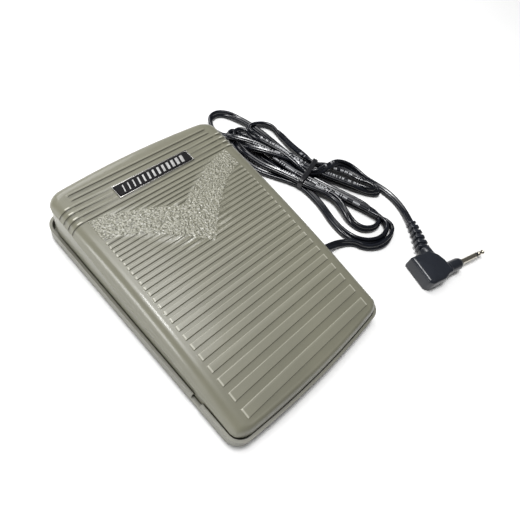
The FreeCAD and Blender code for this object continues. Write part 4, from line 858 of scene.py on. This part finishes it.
# ---------------------------------------------------------------- jack plug
# A right-angle jack plug moulded in black plastic: a block, a barrel round the pin, and a collar that meets the
# strain relief. The pin is nickel plated brass, its two contacts parted by a black insulating ring.
PLUG_CENTRE_X, PLUG_CENTRE_Y, PLUG_AXIS_Z = 111.0, -84.0, 5.5
outline = np.array([(-11.0, -9.0), (-8.0, -11.5), (3.0, -11.5), (8.0, -9.5), (11.5, -9.5), (11.5, 0.0),
                    (9.6, 5.4), (5.2, 10.4), (-11.0, 10.6)])
closed = np.vstack([outline, outline[:1]])
outline_line = evenly(np.column_stack([closed, np.zeros(len(closed))]), 0.35)[0][:-1, :2]
padded = np.vstack([outline_line[-6:], outline_line, outline_line[:6]])
window = np.hanning(15)[1:-1] / np.hanning(15)[1:-1].sum()
outline_line = np.column_stack([np.convolve(padded[:, k], window, mode="valid") for k in range(2)])
outline_way = np.roll(outline_line, -1, 0) - np.roll(outline_line, 1, 0)
outline_out = np.column_stack([outline_way[:, 1], -outline_way[:, 0]])
outline_out /= np.linalg.norm(outline_out, axis=1)[:, None]


def plug_place(along, aside, height):
    """From places along the pin, aside towards the cord and above the floor, in millimetres, to metres."""
    return np.stack([PLUG_CENTRE_X + 0.965 * along + 0.262 * aside,
                     PLUG_CENTRE_Y - 0.262 * along + 0.965 * aside, height + 0 * along], -1) * MM


quarter = np.linspace(0, np.pi / 2, 8)
inset = np.concatenate([1.3 * (1 - np.sin(quarter)), 2.2 * (1 - np.cos(quarter))])
height = np.concatenate([0.15 + 1.3 * (1 - np.cos(quarter)), 10.3 - 2.2 + 2.2 * np.sin(quarter)])
block = outline_line[None] - outline_out[None] * inset[:, None, None]
rings_up = [plug_place(ring[:, 0], ring[:, 1], level) for ring, level in zip(block, height)]
middle_of_top = np.array([-0.5, -0.5])
for shrink in (0.85, 0.6, 0.35, 0.12):
    ring = middle_of_top + (block[-1] - middle_of_top) * shrink
    rings_up.append(plug_place(ring[:, 0], ring[:, 1], 10.3 + 0.35 * (1 - shrink ** 2)))
plug_block = surface("plug_moulding", np.stack(rings_up), plug_plastic, capped=True)
outward(plug_block)
barrel_along = np.array([7.0, 11.9, 12.2, 12.5, 12.8, 20.6, 21.6, 22.6, 23.2, 23.5, 23.5])
barrel_radius = np.array([4.5, 4.5, 4.45, 4.2, 4.15, 4.05, 3.95, 3.6, 3.1, 2.6, 1.9])
lathe = np.linspace(0, 2 * np.pi, 41)[:-1]
barrel_grid = plug_place(barrel_along[:, None] + 0 * lathe[None],
                         -5.0 + barrel_radius[:, None] * np.cos(lathe)[None],
                         PLUG_AXIS_Z + barrel_radius[:, None] * np.sin(lathe)[None])
plug_barrel = surface("plug_barrel", barrel_grid, plug_plastic, capped=True)
outward(plug_barrel)
collar_aside = np.array([6.0, 10.4, 11.2, 12.6, 13.4, 13.9, 13.9])
collar_radius = np.array([4.5, 4.5, 4.45, 4.4, 4.2, 3.7, 2.6])
collar_grid = plug_place(5.3 + collar_radius[:, None] * np.cos(lathe)[None],
                         collar_aside[:, None] + 0 * lathe[None],
                         PLUG_AXIS_Z + 0.97 * collar_radius[:, None] * np.sin(lathe)[None])
plug_collar = surface("plug_collar", collar_grid, plug_plastic, capped=True)
outward(plug_collar)
for moulding in (plug_block, plug_barrel, plug_collar):
    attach(moulding, "base")
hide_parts("plug_body")
paint(plug_plastic, "plug_ring")
nickel = finished("nickel_plated_brass", (0.66, 0.62, 0.54), (0.50, 0.46, 0.38), 0.20, grains=1800.0, bump=0.1,
                  dust=0.04, Metallic=1.0)
paint(nickel, "plug_sleeve", "plug_tip")
